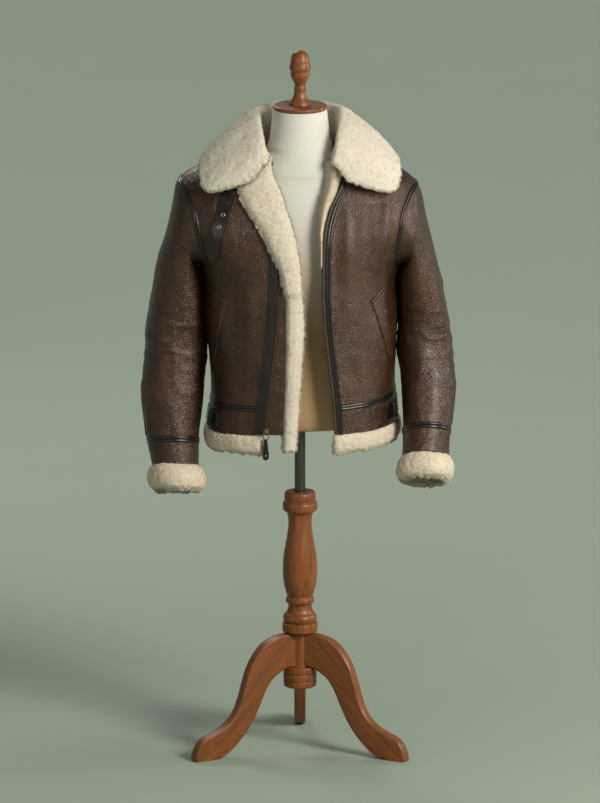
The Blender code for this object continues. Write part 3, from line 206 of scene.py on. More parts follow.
TAB_EDGE = (  # the pull's leather: height below the bar, half width
    (-0.0040, 0.0036), (-0.012, 0.0044), (-0.028, 0.0064), (-0.035, 0.0060), (-0.0385, 0.0044), (-0.0400, 0.0018),
)
# The stand: heights from the floor, turned profiles as (height, radius) from the top down.
FINIAL = (
    (1.4295, 0.0), (1.4285, 0.0080), (1.4254, 0.0130), (1.4190, 0.0168), (1.4100, 0.0190), (1.4015, 0.0192),
    (1.3995, 0.0208), (1.3945, 0.0213), (1.3895, 0.0204), (1.3880, 0.0185), (1.3800, 0.0192), (1.3745, 0.0176),
    (1.3680, 0.0146), (1.3600, 0.0102), (1.3570, 0.0104), (1.3550, 0.0120), (1.3500, 0.0120), (1.3470, 0.0112),
    (1.3390, 0.0124), (1.3320, 0.0152), (1.3250, 0.0202), (1.3193, 0.0228), (1.3193, 0.0),
)
NECK_CAP = (
    (1.3190, 0.0), (1.3190, 0.0500), (1.3182, 0.0526), (1.3165, 0.0536), (1.3130, 0.0536), (1.3113, 0.0526),
    (1.3108, 0.0505), (1.3108, 0.0),
)
POLE_RADIUS, POLE_BOTTOM, SOCKET_TOP = 0.0110, 0.355, 0.702
BORE_RADIUS, BORE_BOTTOM = 0.0113, 0.236
CORE_RADIUS = 0.0205
COLUMN = (
    (0.5280, BORE_RADIUS), (0.5280, 0.0285), (0.5240, 0.0312), (0.5140, 0.0318), (0.5083, 0.0300), (0.5062, 0.0340),
    (0.4980, 0.0355), (0.4890, 0.0335), (0.4866, 0.0275), (0.4780, 0.0240), (0.4600, 0.0231), (0.4420, 0.0250),
    (0.4178, 0.0295), (0.3950, 0.0334), (0.3680, 0.0351), (0.3450, 0.0338), (0.3250, 0.0296), (0.3110, 0.0250),
    (0.3080, 0.0285), (0.3000, 0.0285), (0.2975, 0.0238), (0.2920, 0.0230), (0.2800, 0.0262), (0.2750, 0.0325),
    (0.2670, 0.0345), (0.2608, 0.0320), (0.2592, 0.0300), (0.2582, 0.0355), (0.2405, 0.0355), (0.2400, CORE_RADIUS),
    (0.1690, CORE_RADIUS), (0.1690, 0.0318), (0.1665, 0.0335), (0.1560, 0.0335), (0.1547, 0.0312), (0.1534, 0.0335),
    (0.1410, 0.0335), (0.1396, 0.0312), (0.1384, 0.0335), (0.1285, 0.0328), (0.1256, 0.0290), (0.1256, 0.0),
)
# A leg's outline seen from its side: (distance from the axis, height), over the top and back underneath.
LEG = (
    (0.0120, 0.2390), (0.0554, 0.2370), (0.0855, 0.2243), (0.1062, 0.2022), (0.1212, 0.1773), (0.1319, 0.1443),
    (0.1400, 0.1160), (0.1533, 0.0860), (0.1746, 0.0656), (0.2002, 0.0534), (0.2259, 0.0449), (0.2388, 0.0314),
    (0.2471, 0.0095), (0.2460, 0.0), (0.1875, 0.0), (0.1619, 0.0149), (0.1363, 0.0386), (0.1148, 0.0663),
    (0.0977, 0.0987), (0.0850, 0.1276), (0.0679, 0.1519), (0.0464, 0.1640), (0.0350, 0.1695), (0.0120, 0.1700),
)
LEG_THICK, LEG_ROUND = 0.023, 0.0035
LEG_TURNS = (-30.0, 90.0, 210.0)
FORM_ROWS = (  # as BODY_ROWS, up to where the form follows the jacket
    (0.148, 0.148, 0.097, 0.092, 0.672, 0.672, 0.672, 0.672, 2.20),
    (0.155, 0.155, 0.104, 0.100, 0.680, 0.680, 0.680, 0.680, 2.20),
    (0.158, 0.158, 0.108, 0.106, 0.705, 0.705, 0.705, 0.705, 2.20),
    (0.148, 0.148, 0.104, 0.098, 0.780, 0.780, 0.780, 0.780, 2.15),
    (0.142, 0.142, 0.102, 0.090, 0.850, 0.850, 0.850, 0.850, 2.10),
    (0.152, 0.152, 0.108, 0.100, 0.930, 0.930, 0.930, 0.930, 2.10),
    (0.166, 0.166, 0.114, 0.112, 1.010, 1.010, 1.010, 1.010, 2.10),
    (0.174, 0.174, 0.110, 0.112, 1.075, 1.060, 1.075, 1.066, 2.05),
    (0.182, 0.182, 0.100, 0.104, 1.128, 1.100, 1.128, 1.112, 2.00),
)
LOCK_LENGTH, LOCK_WIDTH, LOCK_ROOT = (0.0018, 0.0038), (0.0005, 0.0009), 0.0010
RIM_TUFT = 0.0075  # how far the pile's tufts stand out at a fleece's rims
FORM_REST = 0.0096  # from the jacket's leather face down to the form, where it rests
FORM_NECK = (  # height, half width, half depth, shift back
    (1.2280, 0.0720, 0.0700, -0.004),
    (1.2400, 0.0650, 0.0670, -0.004),
    (1.2550, 0.0605, 0.0620, -0.002),
    (1.2750, 0.0575, 0.0580, -0.001),
    (1.2950, 0.0555, 0.0555, 0.0),
    (1.3105, 0.0535, 0.0535, 0.0),
)


# ---------------------------------------------------------------- curves and surfaces, as in the CAD
def spline(table, at):
    """Row values between the rows of a table, on a Catmull-Rom curve through them."""
    rows = np.asarray(table, float)
    at = np.clip(np.asarray(at, float), 0, len(rows) - 1)
    low = np.minimum(at.astype(int), len(rows) - 2)
    share = at - low
    if rows.ndim > 1:
        share = share[..., None]
    before = rows[np.maximum(low - 1, 0)]
    start, end = rows[low], rows[low + 1]
    after = rows[np.minimum(low + 2, len(rows) - 1)]
    slope_start, slope_end = (end - before) / 2, (after - start) / 2
    cube, square = share**3, share**2
    return (
        (2 * cube - 3 * square + 1) * start
        + (cube - 2 * square + share) * slope_start
        + (3 * square - 2 * cube) * end
        + (cube - square) * slope_end
    )


def unit(vectors):
    vectors = np.asarray(vectors, float)
    return vectors / np.maximum(np.linalg.norm(vectors, axis=-1, keepdims=True), 1e-12)


def smooth(value):
    value = np.clip(value, 0, 1)
    return value * value * (3 - 2 * value)


def body_point(angle, level, rows=BODY_ROWS):
    """The plain body surface, with no folds, at an angle in degrees and a level."""
    angle, level = np.broadcast_arrays(np.radians(angle), np.asarray(level, float))
    row = dict(zip(BODY_COLUMNS, np.moveaxis(spline(rows, level), -1, 0)))
    cos, sin = np.cos(angle), np.sin(angle)
    power = 2 / row["square"]
    side_x = np.where(cos > 0, row["left_x"], row["right_x"])
    side_z = np.where(cos > 0, row["left_z"], row["right_z"])
    depth = np.where(sin > 0, row["front_y"], row["back_y"])
    middle_z = np.where(sin > 0, row["front_z"], row["back_z"])
    x = side_x * np.sign(cos) * np.abs(cos) ** power
    y = -depth * np.sign(sin) * np.abs(sin) ** power
    z = side_z * cos**2 + middle_z * sin**2
    return np.stack([x, y, z], -1)


def body_normal(angle, level):
    """Out of the body surface, from its own slopes."""
    step_angle, step_level = 0.5, 0.02
    level = np.clip(level, step_level, NECK - step_level)
    around = body_point(angle + step_angle, level) - body_point(angle - step_angle, level)
    up = body_point(angle, level + step_level) - body_point(angle, level - step_level)
    return unit(np.cross(up, around))


def fold_height(angle, level):
    """The soft folds: long low ridges and troughs that lean as they rise."""
    total = np.zeros(np.broadcast(angle, level).shape)
    for values in FOLDS:
        fold = dict(zip(FOLD_COLUMNS, values))
        along = (np.asarray(level) - fold["level"]) / fold["half_level"]
        across = (np.asarray(angle) - fold["angle"] - fold["lean"] * along) / fold["half_angle"]
        total = total + fold["height"] * np.exp(-(across**2)) * smooth(1 - np.abs(along))
    return total


def angle_at(level, x):
    """The front angle where a level crosses a distance x from the middle."""
    row = dict(zip(BODY_COLUMNS, np.moveaxis(spline(BODY_ROWS, level), -1, 0)))
    x = np.asarray(x, float)
    half = np.where(x > 0, row["left_x"], row["right_x"])
    share = np.clip(np.abs(x) / half, 0, 1) ** (row["square"] / 2)
    return np.where(x > 0, np.degrees(np.arccos(share)), 180 - np.degrees(np.arccos(share)))


def gap_angle(angle, level):
    """Half a seam's gap, in degrees."""
    degree = np.linalg.norm(body_point(angle + 0.5, level) - body_point(angle - 0.5, level), axis=-1)
    return SEAM_GAP / 2 / degree


def armhole(side, turn, inset=0.0):
    """(angle, level) on an armhole, at a turn in degrees: 0 front, 90 top, 180 back, 270 underarm."""
    turn = np.radians(turn)
    cos, sin = np.cos(turn), np.sin(turn)
    reach = np.where(cos > 0, ARMHOLE_FRONT, ARMHOLE_BACK) - inset / DEGREE
    rise = ARMHOLE_RISE - inset / np.where(sin > 0, LEVEL_ABOVE, LEVEL_BELOW)
    offset = reach * np.sign(cos) * np.abs(cos) ** 0.95
    angle = offset if side > 0 else 180 - offset
    return angle, ARMHOLE_MID + rise * sin


def side_angle(side, level, front=True):
    """The front or back panel's side edge: the side seam, the armhole, then the shoulder seam."""
    rise = np.clip((level - ARMHOLE_MID) / ARMHOLE_RISE, -1, 1)
    reach = (ARMHOLE_FRONT if front else ARMHOLE_BACK) * np.sqrt(1 - rise**2) ** 0.95
    middle = 0.0 if side > 0 else 180.0
    return middle + (side if front else -side) * (reach + gap_angle(middle, level))


def placket_share(levels):
    return 1 - 0.75 * smooth((levels - 6.2) / 1.2)


def front_edge(side, levels):
    """The angle of a front panel's or band's inner edge, beside the placket."""
    zip_x, placket = (LEFT_ZIP_X, LEFT_PLACKET) if side > 0 else (RIGHT_ZIP_X, RIGHT_PLACKET)
    reach = spline(zip_x, levels) + ZIP_WIDTH / 2 + placket * placket_share(levels) + SEAM_GAP
    return angle_at(levels, side * reach)


def run_along(points, axis=0):
    """How far from its start each point of a path is, or each point of a grid along one of its axes."""
    steps = np.linalg.norm(np.diff(points, axis=axis), axis=-1)
    pad = [(0, 0)] * steps.ndim
    pad[axis] = (1, 0)
    return np.cumsum(np.pad(steps, pad), axis)


def places_at(path, run, at):
    """Places on a path, or values that go with it, at distances from its start."""
    path = np.asarray(path)
    return np.stack([np.interp(at, run, path[:, i]) for i in range(3)], -1)


def span(low, high, share):
    """A grid of values from one edge to the other, a row for each value of the edges."""
    return low[:, None] * (1 - share) + high[:, None] * share


def circle(count):
    return np.linspace(0, 2 * math.pi, count, endpoint=False)


# ---------------------------------------------------------------- noise
def lattice(i, j, k, seed):
    """A repeatable value from 0 to 1 for each whole-numbered place."""
    mix = i.astype(np.uint64) * np.uint64(374761393) + j.astype(np.uint64) * np.uint64(668265263)
    mix += k.astype(np.uint64) * np.uint64(2246822519) + np.uint64(seed * 3266489917)
    mix &= np.uint64(0xFFFFFFFF)
    mix = ((mix ^ (mix >> np.uint64(15))) * np.uint64(2246822519)) & np.uint64(0xFFFFFFFF)
    mix = ((mix ^ (mix >> np.uint64(13))) * np.uint64(3266489917)) & np.uint64(0xFFFFFFFF)
    return ((mix ^ (mix >> np.uint64(16))) & np.uint64(0xFFFFFF)).astype(float) / 0xFFFFFF


def noise(points, size, seed=0):
    """Smooth noise from -1 to 1, whose lumps are about size across. size may be three sizes."""
    place = np.asarray(points) / size + 512.0
    low = np.floor(place)
    share = place - low
    share = share * share * (3 - 2 * share)
    low = low.astype(np.int64)
    total = 0.0
    for a in (0, 1):
        for b in (0, 1):
            for c in (0, 1):
                weight = (
                    (share[..., 0] if a else 1 - share[..., 0])
                    * (share[..., 1] if b else 1 - share[..., 1])
                    * (share[..., 2] if c else 1 - share[..., 2])
                )
                total = total + weight * lattice(low[..., 0] + a, low[..., 1] + b, low[..., 2] + c, seed)
    return total * 2 - 1


def cells(points, size, seed=0):
    """How far a point is from the nearest of scattered centres, in sizes."""
    place = np.asarray(points) / size + 512.0
    low = np.floor(place).astype(np.int64)
    best = np.full(place.shape[:-1], 9.0)
    for a in (-1, 0, 1):
        for b in (-1, 0, 1):
            for c in (-1, 0, 1):
                i, j, k = low[..., 0] + a, low[..., 1] + b, low[..., 2] + c
                x = i + lattice(i, j, k, seed) - place[..., 0]
                y = j + lattice(i, j, k, seed + 1) - place[..., 1]
                z = k + lattice(i, j, k, seed + 2) - place[..., 2]
                best = np.minimum(best, x * x + y * y + z * z)
    return np.sqrt(best)


def ridges(points, size, seed=0):
    """Long soft creases: 1 on a crease's line, falling to 0 away from it."""
    return np.clip(1 - np.abs(noise(points, size, seed)) * 2.2, 0, 1) ** 2


DRAPES = (  # the fronts' shallow ridges and troughs: x, height, half width, half length, lean, rise
    (0.0945, 1.050, 0.0095, 0.125, -0.030, 0.0036),
    (0.0725, 1.010, 0.0090, 0.140, -0.020, -0.0026),
    (0.1700, 1.100, 0.0090, 0.085, 0.060, 0.0032),
    (0.1360, 1.060, 0.0130, 0.110, 0.030, -0.0022),
    (0.1500, 0.880, 0.0110, 0.100, 0.080, 0.0026),
    (-0.1000, 0.900, 0.0120, 0.150, 0.030, 0.0034),
    (-0.1330, 0.940, 0.0120, 0.130, 0.050, -0.0024),
    (-0.1700, 1.060, 0.0100, 0.110, -0.060, 0.0026),
)


def rumple(points):
    """The hide's own slight unevenness, the same for all pieces that meet at a place."""
    drape = 0.0
    for x, middle, half_x, half_z, lean, rise in DRAPES:
        along = (points[..., 2] - middle) / half_z
        across = (points[..., 0] - x - lean * (points[..., 2] - middle)) / half_x
        drape = drape + rise * np.exp(-(across**2)) * smooth(1 - np.abs(along)) * (points[..., 1] < 0)
    return drape + (
        0.0011 * noise(points, 0.075, 3)
        + 0.0010 * (ridges(points, (0.050, 0.050, 0.110), 5) - 0.3)
        + 0.0004 * noise(points, 0.016, 7)
    )


def on_coat(angle, level, out=0.0):
    """A point on the jacket's leather face, or out from it."""
    ground = body_point(angle, level)
    height = fold_height(angle, level) + rumple(ground) + out
    return ground + body_normal(angle, level) * np.asarray(height)[..., None]


def in_coat(angle, level, depth=HIDE):
    depth = np.broadcast_to(depth, np.broadcast(angle, level).shape)
    return body_point(angle, level) - body_normal(angle, level) * depth[..., None]


# ---------------------------------------------------------------- meshes
MATERIALS = {}


def volume(points, faces):
    """Six times what the faces close in, below zero where they are turned in."""
    corners, total = [points[column] for column in faces.T], 0.0
    for second, third in zip(corners[1:-1], corners[2:]):
        total += np.einsum("ij,ij->i", corners[0], np.cross(second, third)).sum()
    return total


def mesh_object(name, points, faces, material_names, slots=None, smooth_angle=50, tone_and_shade=None):
    """An object from points round the stand's axis and faces, turned out by the sign of its volume."""
    points = np.asarray(points, float).reshape(-1, 3)
    groups = [np.asarray(g, np.int64) for g in faces if len(g)]
    if sum(volume(points, g) for g in groups) < 0:
        groups = [g[:, ::-1] for g in groups]
    loops = np.concatenate([g.reshape(-1) for g in groups]).astype(np.int32)
    sizes = np.concatenate([np.full(len(g), g.shape[1]) for g in groups])
    mesh = bpy.data.meshes.new(name)
    mesh.vertices.add(len(points))
    mesh.vertices.foreach_set("co", (points + AXIS).astype(np.float32).reshape(-1))
    mesh.loops.add(len(loops))
    mesh.loops.foreach_set("vertex_index", loops)
    mesh.polygons.add(len(sizes))
    mesh.polygons.foreach_set("loop_start", (np.cumsum(sizes) - sizes).astype(np.int32))
    if slots is not None:
        mesh.polygons.foreach_set("material_index", np.asarray(slots, np.int32))
    mesh.update(calc_edges=True)
    mesh.shade_smooth()
    if smooth_angle:
        mesh.set_sharp_from_angle(angle=math.radians(smooth_angle))
    for material_name in material_names:
        mesh.materials.append(MATERIALS[material_name])
    if tone_and_shade is not None:
        layer = mesh.attributes.new("tone_and_shade", "FLOAT", "POINT")
        layer.data.foreach_set("value", np.asarray(tone_and_shade, np.float32).reshape(-1))
    obj = bpy.data.objects.new(name, mesh)
    bpy.context.scene.collection.objects.link(obj)
    return obj


def grid_faces(rows, columns, ring=False):
    i, j = np.meshgrid(np.arange(rows - 1), np.arange(columns if ring else columns - 1), indexing="ij")
    a = i * columns + j
    b = i * columns + (j + 1) % columns
    return np.stack([a, b, b + columns, a + columns], -1).reshape(-1, 4)


def wall_parts(outer, inner, ring=False):
    """A closed wall's points, its faces in the order outer, inner, rims, and their slots: 1 on the inner."""
    rows, columns = outer.shape[:2]
    count = rows * columns
    out_faces = grid_faces(rows, columns, ring)
    in_faces = out_faces[:, ::-1] + count
    rims = []
    j = np.arange(columns if ring else columns - 1)
    for row, turn in ((0, -1), (rows - 1, 1)):
        a, b = row * columns + j, row * columns + (j + 1) % columns
        rims.append(np.stack([a, b, b + count, a + count], -1)[:, ::turn])
    if not ring:
        i = np.arange(rows - 1)
        for column, turn in ((0, 1), (columns - 1, -1)):
            a = i * columns + column
            rims.append(np.stack([a, a + columns, a + columns + count, a + count], -1)[:, ::turn])
    rims = np.concatenate(rims)
    slots = np.concatenate([np.zeros(len(out_faces)), np.ones(len(in_faces)), np.zeros(len(rims))])
    points = np.concatenate([outer.reshape(-1, 3), inner.reshape(-1, 3)])
    return points, np.concatenate([out_faces, in_faces, rims]), slots


def wall(name, outer, inner, outer_material, inner_material=None, ring=False):
    """A closed wall: one material outside, another inside. The rims take the outer one."""
    points, faces, slots = wall_parts(np.asarray(outer), np.asarray(inner), ring)
    return mesh_object(name, points, [faces], (outer_material, inner_material or outer_material), slots)


def tube(name, rings, material_name, loop=False, smooth_angle=50):
    """A closed tube through rings of points."""
    rings = np.asarray(rings)
    count, sides = rings.shape[:2]
    faces = [grid_faces(count + loop, sides, True) % (count * sides)]
    if not loop:
        faces += [np.arange(sides)[None, ::-1], np.arange((count - 1) * sides, count * sides)[None]]
    return mesh_object(name, rings, faces, (material_name,), smooth_angle=smooth_angle)


def eased(points, closed=False, rounds=3, sharp=0.0009):
    """A profile with its sharp corners slightly rounded and its soft ones drawn into curves."""
    points = np.asarray(points, float)
    for _ in range(rounds):
        before, after = np.roll(points, 1, 0), np.roll(points, -1, 0)
        out = []
        for start, here, end in zip(before, points, after):
            back, ahead = start - here, end - here
            reach = max(np.linalg.norm(back), 1e-9), max(np.linalg.norm(ahead), 1e-9)
            limit = sharp if back @ ahead > -0.77 * reach[0] * reach[1] else 1.0
            out += [here + back * min(0.25, limit / reach[0]), here + ahead * min(0.25, limit / reach[1])]
        points = np.array(out) if closed else np.concatenate([points[:1], out[2:-2], points[-1:]])
    return points


def lathe(name, profile, material_name, steps=96):
    """A turned solid from (height, radius) points, top down, that starts and ends on its axis."""
    turn = circle(steps)
    rings = []
    for height, radius in eased(profile):
        radius = max(radius, 0.0002)
        rings.append(np.stack([radius * np.cos(turn), radius * np.sin(turn), np.full(steps, height)], -1))
    obj = tube(name, rings, material_name, smooth_angle=42)
    return grain_along(obj, lambda p: p * (1, 1, 0.07))


def grain_along(obj, lay):
    """Gives wood its own coordinates, in which its grain is short along and fine across."""
    count = len(obj.data.vertices)
    points = np.empty(count * 3, np.float32)
    obj.data.vertices.foreach_get("co", points)
    layer = obj.data.attributes.new("grain", "FLOAT_VECTOR", "POINT")
    layer.data.foreach_set("vector", lay(points.reshape(-1, 3) - AXIS).astype(np.float32).reshape(-1))
    return obj


# ---------------------------------------------------------------- materials
class Nodes:
    """A material's node tree, built with short calls."""

    def __init__(self, name, **shader):
        self.material = bpy.data.materials.new(name)
        self.material.use_nodes = True
        self.tree = self.material.node_tree
        self.shader = self.tree.nodes["Principled BSDF"]
        for key, value in shader.items():
            self.shader.inputs[key.replace("_", " ").title().replace("Ior", "IOR")].default_value = value
        MATERIALS[name] = self.material

    def add(self, kind, inputs=(), **settings):
        node = self.tree.nodes.new(kind)
        for key, value in settings.items():
            setattr(node, key, value)
        for key, value in dict(inputs).items():
            self.set(node, key, value)
        return node

    def set(self, node, key, value):
        socket = node.inputs[key]
        if isinstance(value, bpy.types.NodeSocket):
            self.tree.links.new(value, socket)
        else:
            socket.default_value = value

    def place(self, scale=(1, 1, 1)):
        where = self.add("ShaderNodeTexCoord").outputs["Object"]
        return self.add("ShaderNodeMapping", {"Vector": where, "Scale": scale}).outputs[0]

    def bent(self, where, scale, reach):
        """A place moved about by a noise, by up to reach."""
        warp = self.add("ShaderNodeTexNoise", {"Vector": where, "Scale": scale, "Detail": 1.0}).outputs["Color"]
        away = self.add("ShaderNodeVectorMath", {0: warp}, operation="SCALE")
        away.inputs["Scale"].default_value = reach * 2
        return self.add("ShaderNodeVectorMath", {0: where, 1: away.outputs[0]}, operation="ADD").outputs[0]

    def noise(self, where, scale, detail=3.0, rough=0.55, distortion=0.0):
        inputs = {"Vector": where, "Scale": scale, "Detail": detail, "Roughness": rough, "Distortion": distortion}
        return self.add("ShaderNodeTexNoise", inputs).outputs["Fac"]

    def cells(self, where, scale, feature="DISTANCE_TO_EDGE"):
        node = self.add("ShaderNodeTexVoronoi", {"Vector": where, "Scale": scale}, feature=feature)
        return node.outputs["Distance"]

    def ramp(self, value, stops):
        node = self.add("ShaderNodeValToRGB", {"Fac": value})
        elements = node.color_ramp.elements
        while len(elements) < len(stops):
            elements.new(0.5)
        for element, (position, colour) in zip(elements, stops):
            element.position = position
            element.color = (*colour, 1) if isinstance(colour, tuple) else (colour, colour, colour, 1)
        return node.outputs["Color"]

    def mix(self, share, first, second, blend="MIX"):
        node = self.add("ShaderNodeMix", data_type="RGBA", blend_type=blend)
        self.set(node, 0, share)
        for slot, value in ((6, first), (7, second)):
            self.set(node, slot, (*value, 1) if isinstance(value, tuple) else value)
        return node.outputs[2]

    def math(self, operation, first, second):
        return self.add("ShaderNodeMath", {0: first, 1: second}, operation=operation).outputs[0]

    def bump(self, height, distance, strength=1.0, under=None):
        inputs = {"Height": height, "Distance": distance, "Strength": strength}
        if under is not None:
            inputs["Normal"] = under
        return self.add("ShaderNodeBump", inputs).outputs[0]

    def attribute(self, name):
        return self.add("ShaderNodeAttribute", attribute_name=name).outputs["Fac"]

    def finish(self, **links):
        for key, socket in links.items():
            self.tree.links.new(socket, self.shader.inputs[key.replace("_", " ").title()])


def leather(name, dark, mid, wear_and_glint, rough=(0.30, 0.44), grain=270.0, relief=1.0, coat=0.10, level=0.62):
    """Hide with a pebbled grain, cloudy colour and paler patches of wear, with lighter specks of painted glint, and
    darker crevices round the grain's tops: painted shade, partly wear.
    """
    m = Nodes(name, ior=1.5, specular_ior_level=level, coat_weight=coat, coat_roughness=0.30)
    m.shader.inputs["Specular Tint"].default_value = (1.0, 0.82, 0.68, 1.0)
    where = m.place()
    bent = m.bent(where, 60.0, 0.004)
    cloud = m.noise(where, 7.0, 5.0, 0.60, 0.4)
    patch = m.noise(where, 34.0, 5.0, 0.64, 0.5)
    speck = m.noise(where, 280.0, 2.0, 0.65)
    tops = m.ramp(m.cells(bent, grain), [(0.02, 0.0), (0.34, 1.0)])
    fine = m.cells(bent, grain * 2.3)
    colour = m.ramp(cloud, [(0.34, dark), (0.54, mid), (0.76, tuple(0.6 * a + 0.4 * b for a, b in zip(mid, wear_and_glint)))])
    colour = m.mix(m.ramp(patch, [(0.48, 0.0), (0.78, 0.50)]), colour, wear_and_glint)
    # Lighter specks in the wear colour: painted glints of the grain.
    colour = m.mix(m.ramp(speck, [(0.50, 0.0), (0.66, 0.42)]), colour, wear_and_glint)
    # Darker in the crevices round the grain's tops: painted shade, and partly wear on the paler tops.
    colour = m.mix(0.8, colour, m.mix(tops, (0.26, 0.23, 0.21), (1.0, 1.0, 1.0)), "MULTIPLY")
    roughness = m.math("ADD", m.math("MULTIPLY", patch, rough[1] - rough[0]), rough[0])
    normal = m.bump(tops, 0.00050 * relief, 1.0)
    normal = m.bump(fine, 0.0005 * relief, 0.7, normal)
    m.finish(base_color=colour, roughness=roughness, normal=normal)
    return m


def make_materials():
    leather("brown_leather", (0.0115, 0.0038, 0.0011), (0.036, 0.0118, 0.0034), (0.120, 0.043, 0.0130))
    leather(
        "black_leather", (0.0035, 0.0038, 0.0038), (0.0062, 0.0064, 0.0062), (0.010, 0.0102, 0.0098),
        rough=(0.22, 0.34), grain=620.0, relief=0.15, coat=0.25, level=0.5,
    )

    m = Nodes("wool", roughness=0.95, sheen_weight=0.12, sheen_roughness=0.5, specular_ior_level=0.12)
    where = m.place()
    tone_and_shade = m.attribute("tone_and_shade")
    broad = m.noise(where, 20.0, 3.0)
    curl = m.math("SUBTRACT", 1.0, m.cells(m.bent(where, 130.0, 0.0035), 250.0, "SMOOTH_F1"))
    fibre = m.noise(where, 900.0, 3.0, 0.7, 0.4)
    # Colour from the vertex value: low in the hollows between the wool's lumps as painted shade, and lowered on
    # whole pieces partly as painted shade.
    colour = m.ramp(tone_and_shade, [(0.0, (0.37, 0.25, 0.135)), (0.42, (0.54, 0.445, 0.305)), (0.80, (0.610, 0.552, 0.442))])
    colour = m.mix(m.math("MULTIPLY", broad, 0.25), colour, (0.61, 0.525, 0.395))
    # Darker between the curls: painted shade.
    colour = m.mix(0.20, colour, m.ramp(curl, [(0.25, 0.60), (0.58, 1.0)]), "MULTIPLY")
    normal = m.bump(curl, 0.0012, 0.45)
    normal = m.bump(fibre, 0.0009, 0.8, normal)
    m.finish(base_color=colour, normal=normal)

    m = Nodes("zip_tape", roughness=0.85)
    weave = m.noise(m.place(), 1400.0, 1.0)
    colour = m.ramp(weave, [(0.3, (0.010, 0.008, 0.007)), (0.7, (0.035, 0.028, 0.022))])
    m.finish(base_color=colour, normal=m.bump(weave, 0.0003, 0.7))

    for name, base, rough in (
        ("brass", (0.25, 0.185, 0.105), 0.36),
        ("nickel", (0.42, 0.41, 0.38), 0.26),
        # Darker metal: the buckles' own gunmetal, and on the two upper eyelets painted shade.
        ("gunmetal_and_shaded_nickel", (0.10, 0.10, 0.10), 0.28),
    ):
        m = Nodes(name, metallic=1.0)
        tarnish = m.noise(m.place(), 240.0, 5.0, 0.65)
        m.finish(
            base_color=m.ramp(tarnish, [(0.32, tuple(0.42 * c for c in base)), (0.62, base)]),
            roughness=m.ramp(tarnish, [(0.3, rough + 0.25), (0.7, rough)]),
            normal=m.bump(tarnish, 0.00008, 0.5),
        )

    m = Nodes("linen", roughness=0.92, sheen_weight=0.15, specular_ior_level=0.2)
    where = m.place()
    threads = m.noise(m.place((1.0, 1.0, 0.25)), 1100.0, 1.0)
    cross = m.noise(m.place((0.25, 0.25, 1.0)), 1100.0, 1.0)
    weave = m.math("MAXIMUM", threads, cross)
    height = m.add("ShaderNodeSeparateXYZ", {"Vector": where}).outputs["Z"]
    # Painted shade: darker and browner towards the bottom, where the jacket shades the form.
    painted_shade_low = m.add("ShaderNodeMapRange", {"Value": height, "From Min": 1.12, "From Max": 0.86}).outputs[0]
    colour = m.mix(m.math("MULTIPLY", m.noise(where, 9.0, 4.0), 0.3), (0.595, 0.575, 0.500), (0.54, 0.50, 0.415))
    colour = m.mix(m.math("MULTIPLY", painted_shade_low, 0.88), colour, (0.36, 0.200, 0.072))
    colour = m.mix(0.35, colour, m.ramp(weave, [(0.40, 0.78), (0.62, 1.0)]), "MULTIPLY")
    m.finish(base_color=colour, normal=m.bump(weave, 0.0003, 0.5))

    m = Nodes("wood", specular_ior_level=0.35, coat_weight=0.10, coat_roughness=0.30)
    laid_grain = m.add("ShaderNodeAttribute", attribute_name="grain").outputs["Vector"]
    grain = m.noise(laid_grain, 120.0, 6.0, 0.6, 0.8)
    long_grain = m.add("ShaderNodeMapping", {"Vector": laid_grain, "Scale": (1, 1, 0.5)}).outputs[0]
    pores = m.noise(long_grain, 1100.0, 2.0, 0.7)
    cloud = m.noise(m.place(), 9.0, 3.0)
    colours = [(0.28, (0.080, 0.021, 0.004)), (0.50, (0.175, 0.054, 0.0085)), (0.74, (0.270, 0.093, 0.0175))]
    colour = m.ramp(grain, colours)
    colour = m.mix(m.math("MULTIPLY", cloud, 0.45), colour, (0.170, 0.053, 0.013))
    colour = m.mix(m.ramp(pores, [(0.56, 0.0), (0.70, 0.7)]), colour, (0.055, 0.019, 0.008))
    m.finish(
        base_color=colour,
        roughness=m.ramp(grain, [(0.3, 0.46), (0.7, 0.34)]),
        normal=m.bump(pores, 0.0002, 0.35),
    )

    m = Nodes("chrome", metallic=1.0)
    streak = m.noise(m.place((1.0, 1.0, 0.02)), 600.0, 2.0)
    colour = m.ramp(streak, [(0.3, (0.085, 0.078, 0.072)), (0.7, (0.125, 0.115, 0.108))])
    m.finish(base_color=colour, roughness=m.ramp(streak, [(0.3, 0.26), (0.7, 0.18)]))

    m = Nodes("thread", roughness=0.75)
    twist = m.noise(m.place(), 2500.0, 1.0)
    m.finish(base_color=m.ramp(twist, [(0.3, (0.010, 0.007, 0.005)), (0.7, (0.040, 0.026, 0.018))]))

    m = Nodes("floor", roughness=0.85)
    away = m.add("ShaderNodeVectorMath", {0: m.place()}, operation="LENGTH").outputs["Value"]
    colour = m.ramp(m.noise(m.place(), 3.0, 2.0), [(0.3, (0.545, 0.655, 0.510)), (0.7, (0.555, 0.665, 0.520))])
    # Painted shade: the floor is darker within about five metres of the stand.
    reach = {"Value": away, "From Min": 0.0, "From Max": 5.2}
    near = m.add("ShaderNodeMapRange", reach, interpolation_type="SMOOTHSTEP")
    m.finish(base_color=m.mix(near.outputs[0], m.mix(1.0, colour, (0.44, 0.44, 0.44), "MULTIPLY"), colour))


def closed_ring(grid):
    return np.concatenate([grid, grid[:, :1]], axis=1)


def cloth(obj, node):
    """Puts a piece in its CAD node's place."""
    put(obj, node)


def put(obj, node, body="figure"):
    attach(obj, body)
    for name in (node,) if isinstance(node, str) else node:
        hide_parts(name)


def trim(obj):
    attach(obj, "figure")


